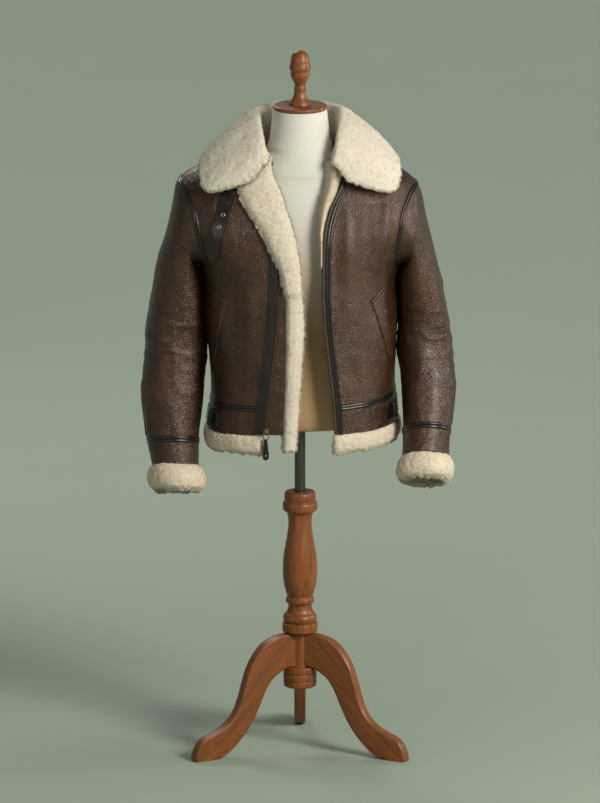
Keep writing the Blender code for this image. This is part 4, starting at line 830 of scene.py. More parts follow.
# ---------------------------------------------------------------- wool
def curls(points):
    """(height, colour value) of the clipped wool: rounded locks in lumps of three sizes. The colour value is lower
    in the hollows between the lumps, as painted shade, and varies at random.
    """
    bent = points + 0.003 * np.stack([noise(points, 0.012, s) for s in (11, 12, 13)], -1)
    big = 1 - np.clip(cells(bent, 0.0115, 21), 0, 1) ** 2
    small = 1 - np.clip(cells(bent, 0.0052, 31), 0, 1) ** 2
    broad = noise(points, 0.034, 41)
    height = 0.0017 * (big - 0.55) + 0.0006 * (small - 0.5) + 0.0016 * broad
    tone_and_shade = np.clip(0.72 + 0.20 * (big - 0.6) + 0.15 * (small - 0.6) + 0.10 * broad, 0, 1)
    return height, tone_and_shade


def vertex_normals(points, faces):
    normals = np.zeros_like(points)
    face_normal = np.cross(points[faces[:, 2]] - points[faces[:, 0]], points[faces[:, 3]] - points[faces[:, 1]])
    for corner in range(4):
        for axis in range(3):
            normals[:, axis] += np.bincount(faces[:, corner], face_normal[:, axis], len(points))
    return unit(normals)


def rim_shares(outer, inner, ring, ends):
    """How far each point is from the wall's rims, as a rounded share of the wall's half thickness."""
    middle = (outer + inner) / 2
    thick = np.linalg.norm(outer - inner, axis=-1) / 2
    share = np.ones(outer.shape[:2])
    for axis in (0,) if ring else (0, 1):
        run = run_along(middle, axis)
        for wanted, distance in zip(ends[2 * axis :], (run, np.take(run, [-1], axis) - run)):
            if wanted:
                near = np.clip(distance / np.maximum(thick * wanted, 1e-6), 0, 1)
                share = share * np.maximum(np.sqrt(1 - (1 - near) ** 2), 0.06)
    return middle, share[..., None]


def fleece(name, outer, inner, back, ends, locks, seed, tan_and_shade, lift=1.0, ring=False):
    """A shearling piece: outer is its wool side, which curls, and inner its plain side. ends say which
    rims are rounded over: first row, last row, first column, last column. Its pile has a number of locks."""
    outer, inner = np.asarray(outer), np.asarray(inner)
    middle, share = rim_shares(outer, inner, ring, ends)
    outer, inner = middle + (outer - middle) * share, middle + (inner - middle) * share
    points, faces, slots = wall_parts(outer, inner, ring)
    normals = vertex_normals(points, faces) * (1 if volume(points, faces) > 0 else -1)
    height, tone_and_shade = curls(points)
    rim = 1 - np.tile(share.reshape(-1), 2)
    height = height + RIM_TUFT * (rim * (0.75 - cells(points, 0.0105, 51)))
    if back != "wool":
        height[outer.shape[0] * outer.shape[1] :] = 0
    points = points + normals * (height * lift)[:, None]
    # Each piece's colour value is lowered by its own amount: partly the wool's own browner colour, partly painted
    # shade.
    obj = mesh_object(name, points, [faces], ("wool", back), slots, smooth_angle=0, tone_and_shade=tone_and_shade - tan_and_shade)
    grown = faces if back == "wool" else faces[slots == 0]
    grow_locks(name + "_pile", points, grown, normals, rim, locks, seed, tan_and_shade)
    return obj


def grow_locks(name, points, faces, normals, edge, count, seed, tan_and_shade):
    """Short curved locks of wool that stand out of a fleece, closer and longer as edge nears 1 at its rims."""
    random = np.random.default_rng(seed + 5)
    corner = points[faces]
    area = np.linalg.norm(np.cross(corner[:, 2] - corner[:, 0], corner[:, 3] - corner[:, 1]), axis=-1)
    edge = edge[faces].mean(1)
    area = area * (0.35 + 5.0 * edge)
    chosen = random.choice(len(faces), count, p=area / area.sum())
    u, v = random.random((2, count, 1))
    quad, bent = corner[chosen], normals[faces[chosen]]
    root = (quad[:, 0] * (1 - u) + quad[:, 1] * u) * (1 - v) + (quad[:, 3] * (1 - u) + quad[:, 2] * u) * v
    normal = unit(bent.mean(1))
    stray = unit(np.cross(normal, random.normal(size=(count, 3))))
    side = unit(np.cross(normal, stray))
    length = random.uniform(*LOCK_LENGTH, (count, 1)) * (1 + 1.2 * edge[chosen, None])
    lean = random.uniform(0.3, 1.1, (count, 1))
    middle = root + (normal * 0.75 + stray * lean * 0.5) * length * 0.5
    tip = middle + (normal * (0.55 - 0.5 * lean) + stray * lean) * length * 0.5
    width = random.uniform(*LOCK_WIDTH, (count, 1))
    spokes = [(stray * math.cos(t) + side * math.sin(t)) for t in np.radians((0, 120, 240))]
    rings = [root - normal * LOCK_ROOT + s * width for s in spokes] + [middle + s * width * 0.8 for s in spokes]
    every = np.stack(rings + [tip], 1).reshape(-1, 3)
    base = np.arange(count)[:, None] * 7
    tris = [base + np.array([[0, 2, 1]])]
    for j in range(3):
        k = (j + 1) % 3
        tris += [base + np.array([corners]) for corners in ((j, k, 3 + k), (j, 3 + k, 3 + j), (3 + j, 3 + k, 6))]
    # Each lock's colour varies at random, lowered by the piece's amount: partly the wool's own colour, partly
    # painted shade.
    tone_and_shade = np.repeat(random.uniform(0.66, 0.96, count), 7) - tan_and_shade
    obj = mesh_object(name, every, [np.concatenate(tris)], ("wool",), smooth_angle=0, tone_and_shade=tone_and_shade)
    trim(obj)


# ---------------------------------------------------------------- stitches
def along_path(path, step):
    """Places every step along a path, and the way it runs there."""
    run = run_along(path)
    at = np.arange(step / 2, run[-1], step)
    return places_at(path, run, at), unit(places_at(path, run, at + 0.001) - places_at(path, run, at - 0.001))


def stitches(name, paths, outward, step=0.0042, length=0.0030, radius=0.00038):
    """Rows of short stitches along paths, each a small spindle lying on the surface."""
    points, tris, start = [], [], 0
    for path, out in zip(paths, outward):
        places, along = along_path(path, step)
        run = run_along(path)
        normal = unit(places_at(out, run, np.linspace(step / 2, run[-1] - step / 2, len(places))))
        side = unit(np.cross(along, normal))
        up = np.cross(side, along)
        centre = places + up * radius * 0.5
        every = [centre - along * length / 2 - up * radius, centre + along * length / 2 - up * radius]
        for a, b in ((1, 0), (0, 1), (-1, 0), (0, -1)):
            every.append(centre + side * radius * a + up * radius * b)
        points.append(np.stack(every, 1).reshape(-1, 3))
        base = start + np.arange(len(places))[:, None] * 6
        for j in range(4):
            k = (j + 1) % 4
            tris += [base + np.array([[0, 2 + j, 2 + k]]), base + np.array([[1, 2 + k, 2 + j]])]
        start += 6 * len(places)
    obj = mesh_object(name, np.concatenate(points), [np.concatenate(tris)], ("thread",), smooth_angle=0)
    trim(obj)


# ---------------------------------------------------------------- panels
PANEL_LEVELS = np.concatenate([
    np.linspace(1.0 + TAPE_WIDTH / 2 / BAND_RISE, 4.0, 66)[:-1],
    5.0 - np.cos(np.linspace(0, math.pi, 56)),
    np.linspace(6.0, 8.0, 26)[1:],
])


def panel(
    name, node, low_angle, high_angle, levels, columns,
    material_name="brown_leather", height=0.0, depth=HIDE, inner="wool",
):
    """A stretch of the jacket's wall between two edges, given as an angle for each level. height adds to it."""
    angle = span(low_angle, high_angle, np.linspace(0, 1, columns))
    level = np.broadcast_to(levels[:, None], angle.shape)
    outer = on_coat(angle, level, height + np.zeros(angle.shape))
    obj = wall(name, outer, in_coat(angle, level, depth), material_name, inner)
    cloth(obj, node)


def tape_shape(share, low=0.0007, high=0.0021):
    """Two soft cords side by side under the tape's leather."""
    waves = np.abs(np.sin(share * 2 * math.pi)) ** 0.7
    return low + (high - low) * waves * np.clip(np.minimum(share, 1 - share) * 12, 0, 1)


def make_panels():
    for name, side in SIDES:
        low, high = front_edge(side, PANEL_LEVELS), side_angle(side, PANEL_LEVELS)
        panel(f"front_{name}_hide", f"front_{name}", low, high, PANEL_LEVELS, 58)
    low, high = side_angle(-1, PANEL_LEVELS, False), side_angle(1, PANEL_LEVELS, False) + 360
    panel("back_hide", "back", low, high, PANEL_LEVELS, 128)
    band, tape = np.linspace(0.01, 0.894, 18), np.linspace(0.9, PANEL_LEVELS[0] - 0.006, 15)
    for part, levels, shape, material_name in (
        ("waistband", band, np.zeros(18), "brown_leather"),
        ("waist_tape", tape, tape_shape(np.linspace(0, 1, 15)), "black_leather"),
    ):
        gap_left, gap_right = gap_angle(0.0, levels), gap_angle(180.0, levels)
        for name, low, high, columns in (
            ("left", front_edge(1, levels), 0.0 + gap_left, 44),
            ("right", front_edge(-1, levels), 180.0 - gap_right, 44),
            ("back", 180.0 + gap_right, 360 - gap_left, 96),
        ):
            piece = f"{part}_{name}"
            panel(piece + "_hide", piece, low, high, levels, columns, material_name, shape[:, None])


def make_armhole_tapes():
    turn = np.linspace(0, 360, 120, endpoint=False)
    share = np.linspace(0, 1, 15)
    for name, side in SIDES:
        outer, inner = [], []
        for part, height in zip(share, tape_shape(share)):
            angle, level = armhole(side, turn, 0.0006 + part * (TAPE_WIDTH - 0.0006))
            outer.append(on_coat(angle, level, height))
            inner.append(in_coat(angle, level))
        outer, inner = np.array(outer), np.array(inner)
        obj = wall(f"armhole_tape_{name}_hide", outer, inner, "black_leather", "wool", ring=True)
        cloth(obj, f"armhole_tape_{name}")
        outer = closed_ring(outer)
        normal = body_normal(*armhole(side, np.append(turn, 360.0), TAPE_WIDTH / 2))
        stitches(f"armhole_stitches_{name}", [outer[1], outer[-2]], [normal, normal], radius=0.0003)


def make_front_edges():
    """Along each front: a black placket, then the zip's tape and teeth, and on the right the wind flap."""
    levels = np.concatenate([np.linspace(0.03, 0.98, 14), np.linspace(1.05, NECK - 0.03, 120)])
    share = np.linspace(0, 1, 19)
    right = np.where(share < 0.62, tape_shape(np.clip(share / 0.62, 0, 1), 0.0004, 0.0017), 0.0005)
    for name, side, zip_x, placket, shape in (
        ("left", 1, LEFT_ZIP_X, LEFT_PLACKET, tape_shape(share, 0.0004, 0.0016)),
        ("right", -1, RIGHT_ZIP_X, RIGHT_PLACKET, right),  # two cords beside the zip, then a flat run
    ):
        near, far = (spline(zip_x, levels) + half for half in (-ZIP_WIDTH / 2, ZIP_WIDTH / 2))
        rim = far + placket * placket_share(levels)
        low, high, zip_low, zip_high = (angle_at(levels, side * x) for x in (far + SEAM_GAP, rim, near, far))
        panel(f"placket_{name}_hide", f"placket_{name}", low, high, levels, 19, "black_leather", shape[None, :])
        panel(
            f"zip_{name}_tape", f"zip_{name}", zip_low, zip_high, levels, 5,
            "zip_tape", 0.0002, 0.003, "zip_tape",
        )
        make_teeth(f"zip_{name}_teeth", side, zip_x)
    flap = levels[levels < FLAP_TOP]
    low = angle_at(flap, ZIP_WIDTH / 2 + SEAM_GAP - spline(RIGHT_ZIP_X, flap))
    high = angle_at(flap, spline(FLAP_X, flap))
    panel("wind_flap_hide", "wind_flap", low, high, flap, 13, "brown_leather", 0.0008, 0.006)


def make_teeth(name, side, zip_x):
    """A row of zip teeth: small rounded blocks across the tape."""
    levels = np.linspace(0.06, NECK - 0.1, 600)
    line = spline(zip_x, levels)
    path = on_coat(angle_at(levels, side * line), levels, 0.0003)
    places, along = along_path(path, TOOTH_PITCH)
    run = run_along(path)
    at = np.interp(np.arange(TOOTH_PITCH / 2, run[-1], TOOTH_PITCH), run, levels)
    normal = body_normal(angle_at(at, side * spline(zip_x, at)), at)
    across = unit(np.cross(along, normal))
    half, points = TOOTH_HALF, []
    for scale, height in ((1.0, 0.0), (1.0, 0.0010), (0.72, 0.0018)):
        for a, b in ((-1, -1), (1, -1), (1, 1), (-1, 1)):
            points.append(places + across * (a * half[0] * scale) + along * (b * half[1] * scale) + normal * height)
    every = np.stack(points, 1).reshape(-1, 3)
    base = np.arange(len(places))[:, None] * 12
    quads = [base + np.array([[3, 2, 1, 0]]), base + np.array([[8, 9, 10, 11]])]
    for ring in (0, 4):
        for j in range(4):
            k = (j + 1) % 4
            quads.append(base + np.array([[ring + j, ring + k, ring + 4 + k, ring + 4 + j]]))
    obj = mesh_object(name, every, [np.concatenate(quads)], ("brass",), smooth_angle=30)
    trim(obj)


# ---------------------------------------------------------------- fur pieces
def fur_strip(name, node, table, columns, rows, drop, back, locks, seed, tan_and_shade):
    """Turned-out wool along a front's edge, from a table of rows like LAPEL. It hangs drop below the first."""
    at = np.linspace(0, len(table) - 1, rows)
    level, outer_x, inner_x, under, face = np.moveaxis(spline(table, at), -1, 0)
    share = np.sin(np.linspace(-1, 1, columns) * math.pi / 2) * 0.5 + 0.5
    angle = span(angle_at(level, outer_x), angle_at(level, inner_x), share)
    swell = 1 - np.abs(2 * share - 1) ** 3
    height = under[:, None] + 0.003 + (face - under - 0.003)[:, None] * swell
    levels = np.broadcast_to(level[:, None], angle.shape)
    normal, ground = body_normal(angle, levels), body_point(angle, levels)
    folds = fold_height(angle, levels) * (under > 0)[:, None]
    outer = ground + normal * (height + folds)[..., None]
    inner = ground + normal * (under[:, None] + folds)[..., None]
    if drop:
        falls = np.linspace(drop, 0.002, 13)
        outer = np.concatenate([[outer[0] - (0, 0, f) for f in falls], outer])
        inner = np.concatenate([[inner[0] - (0, 0, f) for f in falls], inner])
    obj = fleece(name, outer, inner, back, (1, 1, 0.6, 0.6), locks, seed, tan_and_shade, 0.7)
    cloth(obj, node)


def make_front_fur():
    fur_strip("lapel_fleece", "front_edge_fur_right", LAPEL, 46, 330, LAPEL_DROP, "brown_leather", 5200, 1, 0.08)
    # The facing is darkened most: partly its own browner wool, partly painted shade.
    fur_strip("facing_fleece", "front_edge_fur_left", FACING, 22, 120, 0.0, "wool", 900, 2, 0.42)


def make_hem_fur():
    low, high = (float(angle_at(0.0, x)) for x in HEM_FUR_ENDS)
    angle = np.linspace(high, low + 360, 560)
    edge = body_point(angle, 0.0)
    outward = unit(body_normal(angle, 0.3) * (1, 1, 0))

    def rows(profile, count):
        at = np.linspace(0, len(profile) - 1, count)
        return np.array([edge + outward * out + np.array((0, 0, up)) for out, up in spline(profile, at)])

    outer, inner = rows(HEM_FUR, 26), rows(HEM_FUR_INSIDE, 26)
    obj = fleece("hem_fleece", outer, inner, "wool", (0, 1, 1, 1), 5200, 3, 0.18)
    cloth(obj, "hem_fur")


def make_collar():
    columns, half = 300, len(COLLAR) - 1
    table = [dict(zip(COLLAR_COLUMNS, row)) for row in COLLAR]
    keys = []
    for side, order in ((1, table), (-1, table[-2::-1])):  # from the left end round the back to the right one
        for row in order:
            angle = row["seam"] if side > 0 else 180 - row["seam"]
            neck = body_point(angle, NECK)
            inward = unit(-neck * (1, 1, 0))
            along = unit(neck - body_point(angle, NECK - 0.05)) * 0.0012
            seam = in_coat(angle, NECK) + along
            roll = np.array((side * row["roll_x"], row["roll_y"], row["roll_z"]))
            edge = np.array((side * row["edge_x"], row["edge_y"], row["edge_z"]))
            outward = unit((edge - roll) * (1, 1, 0))
            up = np.array((0, 0, 1.0))
            swell = row["swell"] * (0.5 * outward + up)
            rise = (neck + inward * 0.0095 + np.array((0, 0, 0.006))) * 0.7 + roll * 0.3
            high, low = roll * 0.62 + edge * 0.38 + swell * 0.9, roll * 0.25 + edge * 0.75 + swell * 0.8
            face = [seam, rise, roll, high, low, edge]
            under = []
            for place, (out, lift, thick) in zip(face, COLLAR_ROWS):
                under.append(place - unit(outward * out + up * lift) * thick)
            under[0] = neck + along
            keys.append(np.concatenate([face, under]))
    keys = np.array(keys)
    grid = spline(keys.reshape(len(keys), -1), np.linspace(0, 2 * half, columns)).reshape(columns, 12, 3)
    rows = np.concatenate([np.linspace(0, 5, 88)[:-1], [4.97, 5.0]])
    face = np.array([spline(column[:6], rows) for column in grid])
    under = np.array([spline(column[6:], rows) for column in grid])
    obj = fleece("collar_fleece", face, under, "brown_leather", (1, 1, 0, 1), 7000, 4, -0.04, 0.85)
    cloth(obj, "collar")


# ---------------------------------------------------------------- sleeves
def sleeve_ring(table, level, turn):
    row = dict(zip(SLEEVE_COLUMNS, np.moveaxis(spline(table, level), -1, 0)))
    turn, lean = np.radians(turn), np.radians(row["lean"])
    sin, cos = np.sin(turn), np.cos(turn)
    zero = np.zeros(np.broadcast(sin, row["mid_y"]).shape)
    middle_x, half_x = ((row["outer_x"] + sign * row["inner_x"]) / 2 for sign in (1, -1))
    middle_z, half_z = ((row["outer_z"] + sign * row["inner_z"]) / 2 for sign in (1, -1))
    middle = np.stack([middle_x + zero, row["mid_y"] + zero, middle_z + zero], -1)
    across = np.stack([half_x * sin, zero, half_z * sin], -1)
    forward = np.stack([zero, -np.cos(lean) * row["half_y"] * cos, np.sin(lean) * row["half_y"] * cos], -1)
    return middle + across + forward


def sleeve_point(side, level, turn):
    """The plain sleeve: its table, drawn to the armhole's edge at the top."""
    table = LEFT_SLEEVE if side > 0 else RIGHT_SLEEVE
    level, turn = np.broadcast_arrays(np.asarray(level, float), np.asarray(turn, float))
    point = sleeve_ring(table, level, turn)
    seam = body_point(*armhole(side, turn, ARMHOLE_INSET)) * (side, 1, 1)
    away = seam - sleeve_ring(table, np.zeros_like(level), turn)
    pull = (1 - smooth(level / 2.5))[..., None]
    return (point + away * pull) * (side, 1, 1)


def sleeve_normal(side, level, turn):
    low = np.clip(np.asarray(level) - 0.04, 0, CUFF_EDGE)
    high = np.clip(np.asarray(level) + 0.04, 0, CUFF_EDGE)
    down = sleeve_point(side, high, turn) - sleeve_point(side, low, turn)
    around = sleeve_point(side, level, turn + 3.0) - sleeve_point(side, level, turn - 3.0)
    return unit(np.cross(down, around)) * side


def sleeve_fold(side, level, turn):
    total = np.zeros(np.broadcast(level, turn).shape)
    for middle, fold_level, half_turn, half_level, lean, height in SLEEVE_FOLDS:
        along = (level - fold_level) / half_level
        middle = middle if side > 0 else 160 - middle
        across = (turn - middle - lean * side * along + 180) % 360 - 180
        total = total + height * np.exp(-((across / half_turn) ** 2)) * smooth(1 - np.abs(along))
    return total


def sleeve_creases(side, level, turn, plain):
    """Fine creases round the elbow, and the tucks that gather the sleeve into the cuff."""
    elbow = np.exp(-(((level - 7.6) / 1.7) ** 2))
    fine = ridges(plain, (0.055, 0.055, 0.020), 61 + side) * 0.0022 * elbow
    long = (ridges(plain, (0.045, 0.060, 0.100), 71 + side) - 0.35) * 0.0020
    tucks = 0.0
    for middle in (62.0, 84.0, 108.0):
        across = (turn - middle + 180) % 360 - 180
        fade = smooth(1 - np.abs(level - CUFF_SEAM) / 1.1)
        tucks = tucks + 0.0030 * np.exp(-((across / 5.0) ** 2)) * fade * (level <= CUFF_SEAM)
    taper = smooth(level / 0.8) * (1 - 0.9 * smooth((level - (CUFF_SEAM - 0.15)) / 0.15))
    return (fine + long) * taper + tucks * taper


def sleeve_wall(node, side, levels, turns, shape=0.0, material_name="brown_leather", seam_rim=False):
    """A length of a sleeve or cuff. seam_rim draws its first row to the armhole's tape."""
    level, turn = np.meshgrid(levels, turns, indexing="ij")
    plain, normal = sleeve_point(side, level, turn), sleeve_normal(side, level, turn)
    height = sleeve_fold(side, level, turn) + shape
    if material_name == "brown_leather":
        height = height + sleeve_creases(side, level, turn, plain) + 0.6 * rumple(plain) * smooth(level / 1.0)
    outer = plain + normal * height[..., None]
    inner = plain - normal * HIDE
    if seam_rim:
        angle, body_level = armhole(side, turns, ARMHOLE_INSET)
        outer[0], inner[0] = on_coat(angle, body_level), in_coat(angle, body_level)
    obj = wall(node + "_hide", outer, inner, material_name, "wool", ring=True)
    cloth(obj, node)


def make_sleeves():
    turns = np.linspace(0, 360, 108, endpoint=False)
    upper = np.concatenate([np.linspace(0, 3, 36)[:-1], np.linspace(3, CUFF_SEAM - CUFF_GAP, 110)])
    tape, shape = np.linspace(CUFF_SEAM, CUFF_SEAM + CUFF_TAPE, 15), tape_shape(np.linspace(0, 1, 15))
    lower = np.linspace(CUFF_SEAM + CUFF_TAPE + CUFF_GAP, CUFF_EDGE, 16)
    for name, side in SIDES:
        sleeve_wall(f"sleeve_{name}", side, upper, turns, seam_rim=True)
        sleeve_wall(f"cuff_tape_{name}", side, tape, turns, shape[:, None], "black_leather")
        sleeve_wall(f"cuff_{name}", side, lower, turns)
        around = np.linspace(0, 360, 210, endpoint=False)
        edge = sleeve_point(side, CUFF_EDGE, around)
        down = unit((edge - sleeve_point(side, CUFF_EDGE - 0.1, around)).mean(0))
        outward = unit(edge - edge.mean(0))
        profile = spline(CUFF_FUR, np.linspace(0, 4, 34))
        outer = np.array([edge + down * (0.0004 + part * CUFF_FUR_LENGTH) + outward * out for part, out in profile])
        thick = CUFF_FUR_THICK + 0.4 * (profile[:, 1] - 0.001)
        inner = outer - outward * thick[:, None, None]
        obj = fleece(f"cuff_{name}_fleece", outer, inner, "wool", (0, 1, 0, 0), 2600, 6 + side, 0.20, ring=True)
        cloth(obj, f"cuff_fur_{name}")


# ---------------------------------------------------------------- form and stand
def make_form():
    """The limbless dress form, with the groove of the seam at the base of its neck."""
    sides = 144
    angle = np.linspace(0, 360, sides, endpoint=False)
    keys = [body_point(angle, level, FORM_ROWS) for level in np.linspace(0, len(FORM_ROWS) - 1, 13)]
    for level in (6.75, 7.0, 7.25, 7.5):
        sink = FORM_REST + 0.010 * (np.sin(np.radians(angle)) ** 2) * smooth((8.3 - level) / 1.2)
        keys.append(body_point(angle, level) - body_normal(angle, level) * sink[:, None])
    base = np.stack([np.cos(np.radians(angle)), -np.sin(np.radians(angle)), np.zeros(sides)], -1)
    for height, half_x, half_y, shift in FORM_NECK:
        keys.append(base * (half_x, half_y, 1) + np.array((0, shift, height)))
    keys = np.array(keys)
    neck_seam = len(keys) - len(FORM_NECK) + 0.6
    at = np.unique(np.concatenate([np.linspace(0, len(keys) - 1, 150), neck_seam + np.linspace(-0.12, 0.12, 9)]))
    rings = spline(keys.reshape(len(keys), -1), at).reshape(len(at), sides, 3)
    groove = 0.0004 * np.exp(-(((at - neck_seam) / 0.045) ** 2))
    rings = rings - base[None] * groove[:, None, None]
    bore = base * BORE_RADIUS
    lining = [bore + np.array((0, 0, SOCKET_TOP + 0.0003)), bore + np.array((0, 0, 0.672))]
    put(tube("form_cover", np.concatenate([lining, rings]), "linen"), "form_torso")


def leg_point(outline, lift, turn):
    """A leg's outline at a distance from its middle plane, clear of the column's core, turned into place."""
    near = np.sqrt(max((CORE_RADIUS + 0.0003) ** 2 - lift**2, 0))
    reach = np.maximum(outline[:, 0], near)
    cos, sin = math.cos(math.radians(turn)), math.sin(math.radians(turn))
    return np.stack([reach * cos - lift * sin, reach * sin + lift * cos, outline[:, 1]], -1)


def make_leg(number, turn):
    """A sawn leg with rounded arrises."""
    outline = eased(LEG, closed=True, rounds=3, sharp=0.002)
    ahead = unit(np.roll(outline, -1, 0) - np.roll(outline, 1, 0))
    inward = np.stack([ahead[:, 1], -ahead[:, 0]], -1)
    inward[outline[:, 1] < 0.0003] = (0, 0)
    quarter = np.radians(np.linspace(0, 90, 7))
    half = LEG_THICK / 2
    arris = [(LEG_ROUND * (1 - math.sin(t)), half - LEG_ROUND * (1 - math.cos(t))) for t in quarter]
    rings = [leg_point(outline + inward * inset, -lift, turn) for inset, lift in arris]
    rings += [leg_point(outline + inward * inset, lift, turn) for inset, lift in arris[::-1]]
    obj = tube(f"leg_{number}_turned", rings, "wood", smooth_angle=50)
    cos, sin = math.cos(math.radians(turn)), math.sin(math.radians(turn))
    grain_along(obj, lambda p: leg_grain(p[:, 0] * cos + p[:, 1] * sin, p[:, 1] * cos - p[:, 0] * sin, p[:, 2]))
    put(obj, f"leg_{number}", "stand")


def leg_grain(reach, across, height):
    """The board's grain runs down and out, along the leg."""
    along, over = (reach - height) * 0.7071, (reach + height) * 0.7071
    return np.stack([over, across, along * 0.07], -1)


def make_stand():
    put(lathe("finial_turned", FINIAL, "wood"), "finial")
    put(lathe("neck_cap_turned", NECK_CAP, "wood", 128), "neck_cap")
    column = [(BORE_BOTTOM, 0.0), (BORE_BOTTOM, BORE_RADIUS)] + list(COLUMN)
    put(lathe("column_turned", column, "wood", 128), "column", "stand")
    pole = [(SOCKET_TOP, 0.0), (SOCKET_TOP, POLE_RADIUS), (POLE_BOTTOM, POLE_RADIUS), (POLE_BOTTOM, 0.0)]
    put(lathe("pole_tube", pole, "chrome", 64), "pole", "pole")
    for number, turn in enumerate(LEG_TURNS, 1):
        make_leg(number, turn)


# ---------------------------------------------------------------- trims
def laid(name, node, slot_name, side, x, level, low, thick, edge, declare=True):
    """A flat trim laid on the jacket, thinner towards its edges. x and level are grids of its places, and
    with side 0 x holds angles."""
    angle = angle_at(level, side * x) if side else x
    ground, normal = on_coat(angle, level), body_normal(angle, level)
    runs = []
    for axis in (0, 1):
        run = run_along(ground, axis)
        runs.append(np.minimum(run, np.take(run, [-1], axis) - run))
    near = np.clip(np.minimum(*runs) / edge, 0, 1)
    height = low + thick * (0.35 + 0.65 * np.sqrt(1 - (1 - near) ** 2))
    outer = ground + normal * height[..., None]
    inner = ground + normal * (low + np.zeros(level.shape))[..., None]
    obj = wall(name, outer, inner, slot_name)
    if declare:
        cloth(obj, node)
    else:
        put(obj, node)
    return outer, normal


def four_corners(bottom, top, columns, rows):
    across, up = np.meshgrid(np.linspace(0, 1, columns), np.linspace(0, 1, rows))
    across, up = across[..., None], up[..., None]
    (a, b), (c, d) = np.array(bottom), np.array(top)
    return (a * (1 - across) + b * across) * (1 - up) + (c * (1 - across) + d * across) * up


def edge_rows(outer, normal, columns):
    return [outer[:, i] for i in columns], [normal[:, i] for i in columns]


def make_pockets():
    """A slanting welt on each front, stitched down both sides, with a short lip across its upper end."""
    for name, side, bottom, top in (
        ("left", 1, ((0.1850, 2.20), (0.1760, 2.07)), ((0.1650, 3.70), (0.1430, 3.46))),
        ("right", -1, ((0.1790, 2.22), (0.1700, 2.10)), ((0.1690, 3.62), (0.1470, 3.42))),
    ):
        node = f"pocket_welt_{name}"
        x, level = np.moveaxis(four_corners(bottom, top, 17, 90), -1, 0)
        outer, normal = laid(node + "_leather", node, "brown_leather", side, x, level, 0.0004, 0.0026, 0.0022)
        stitches(f"pocket_stitches_{name}", *edge_rows(outer, normal, (3, 13)))
        above = [(x - 0.0022, level + 0.085) for x, level in top[::-1]]
        x, level = np.moveaxis(four_corners(top[::-1], above, 40, 11), -1, 0)
        laid(f"pocket_lip_{name}", node, "brown_leather", side, x, level, 0.0004, 0.0028, 0.0020, False)


def make_throat_strap():
    """The strap that hangs from under the collar, edged with stitches, and its four eyelets."""
    rows = np.linspace(0, len(STRAP) - 1, 110)
    centre, half, out_rows = spline(STRAP, rows), spline(STRAP_HALF, rows), spline(STRAP_OUT, rows)
    across = np.linspace(-1, 1, 25)
    x = centre[:, :1] + half[:, None] * across * 0.93
    level = centre[:, 1:] + half[:, None] * across * 3.4
    name, node, low = "throat_strap_leather", "throat_strap", out_rows[:, None]
    outer, normal = laid(name, node, "black_leather", -1, x, level, low, STRAP_THICK, 0.0012)
    stitches("strap_stitches", *edge_rows(outer[2:-3], normal[2:-3], (3, 21)), 0.0036, 0.0026, 0.0003)
    for number, (x, level) in enumerate(EYELETS, 1):
        out = np.interp(-level, -centre[:, 1], out_rows) + STRAP_THICK + 0.0006
        # The two upper eyelets take the darker metal as painted shade.
        metal = "gunmetal_and_shaded_nickel" if number < 3 else "nickel"
        ring_on_coat(f"eyelet_ring_{number}", f"throat_eyelet_{number}", -x, level, out, metal)


def coat_axes(angle, level):
    normal = body_normal(angle, level)
    across = unit(np.cross((0, 0, 1), normal))
    return across, np.cross(normal, across), normal


def ring_on_coat(name, node, x, level, out, metal):
    """A rolled eyelet: a rounded ring with a flared foot."""
    angle = float(angle_at(level, x))
    across, up, normal = coat_axes(angle, level)
    centre = on_coat(angle, level, out)
    rings = []
    for t in circle(40):
        spoke = across * math.cos(t) + up * math.sin(t)
        rings.append([
            centre + spoke * (0.0034 + 0.0010 * math.cos(v)) + normal * 0.0008 * math.sin(v) for v in circle(12)
        ])
    put(tube(name, rings, metal, loop=True, smooth_angle=0), node)


def wire(name, path, radius, material_name, loop=True):
    """A round wire along a path of points."""
    path = np.asarray(path)
    ahead = unit(np.roll(path, -1, 0) - np.roll(path, 1, 0)) if loop else unit(np.gradient(path, axis=0))
    lean = unit(np.linalg.svd(path - path.mean(0))[2][2]) if len(path) > 2 else np.array((0, 1.0, 0))
    side = unit(np.cross(ahead, lean))
    rings = [[p + (s * math.cos(t) + lean * math.sin(t)) * radius for t in circle(12)] for p, s in zip(path, side)]
    return tube(name, rings, material_name, loop=loop, smooth_angle=0 if loop else 50)


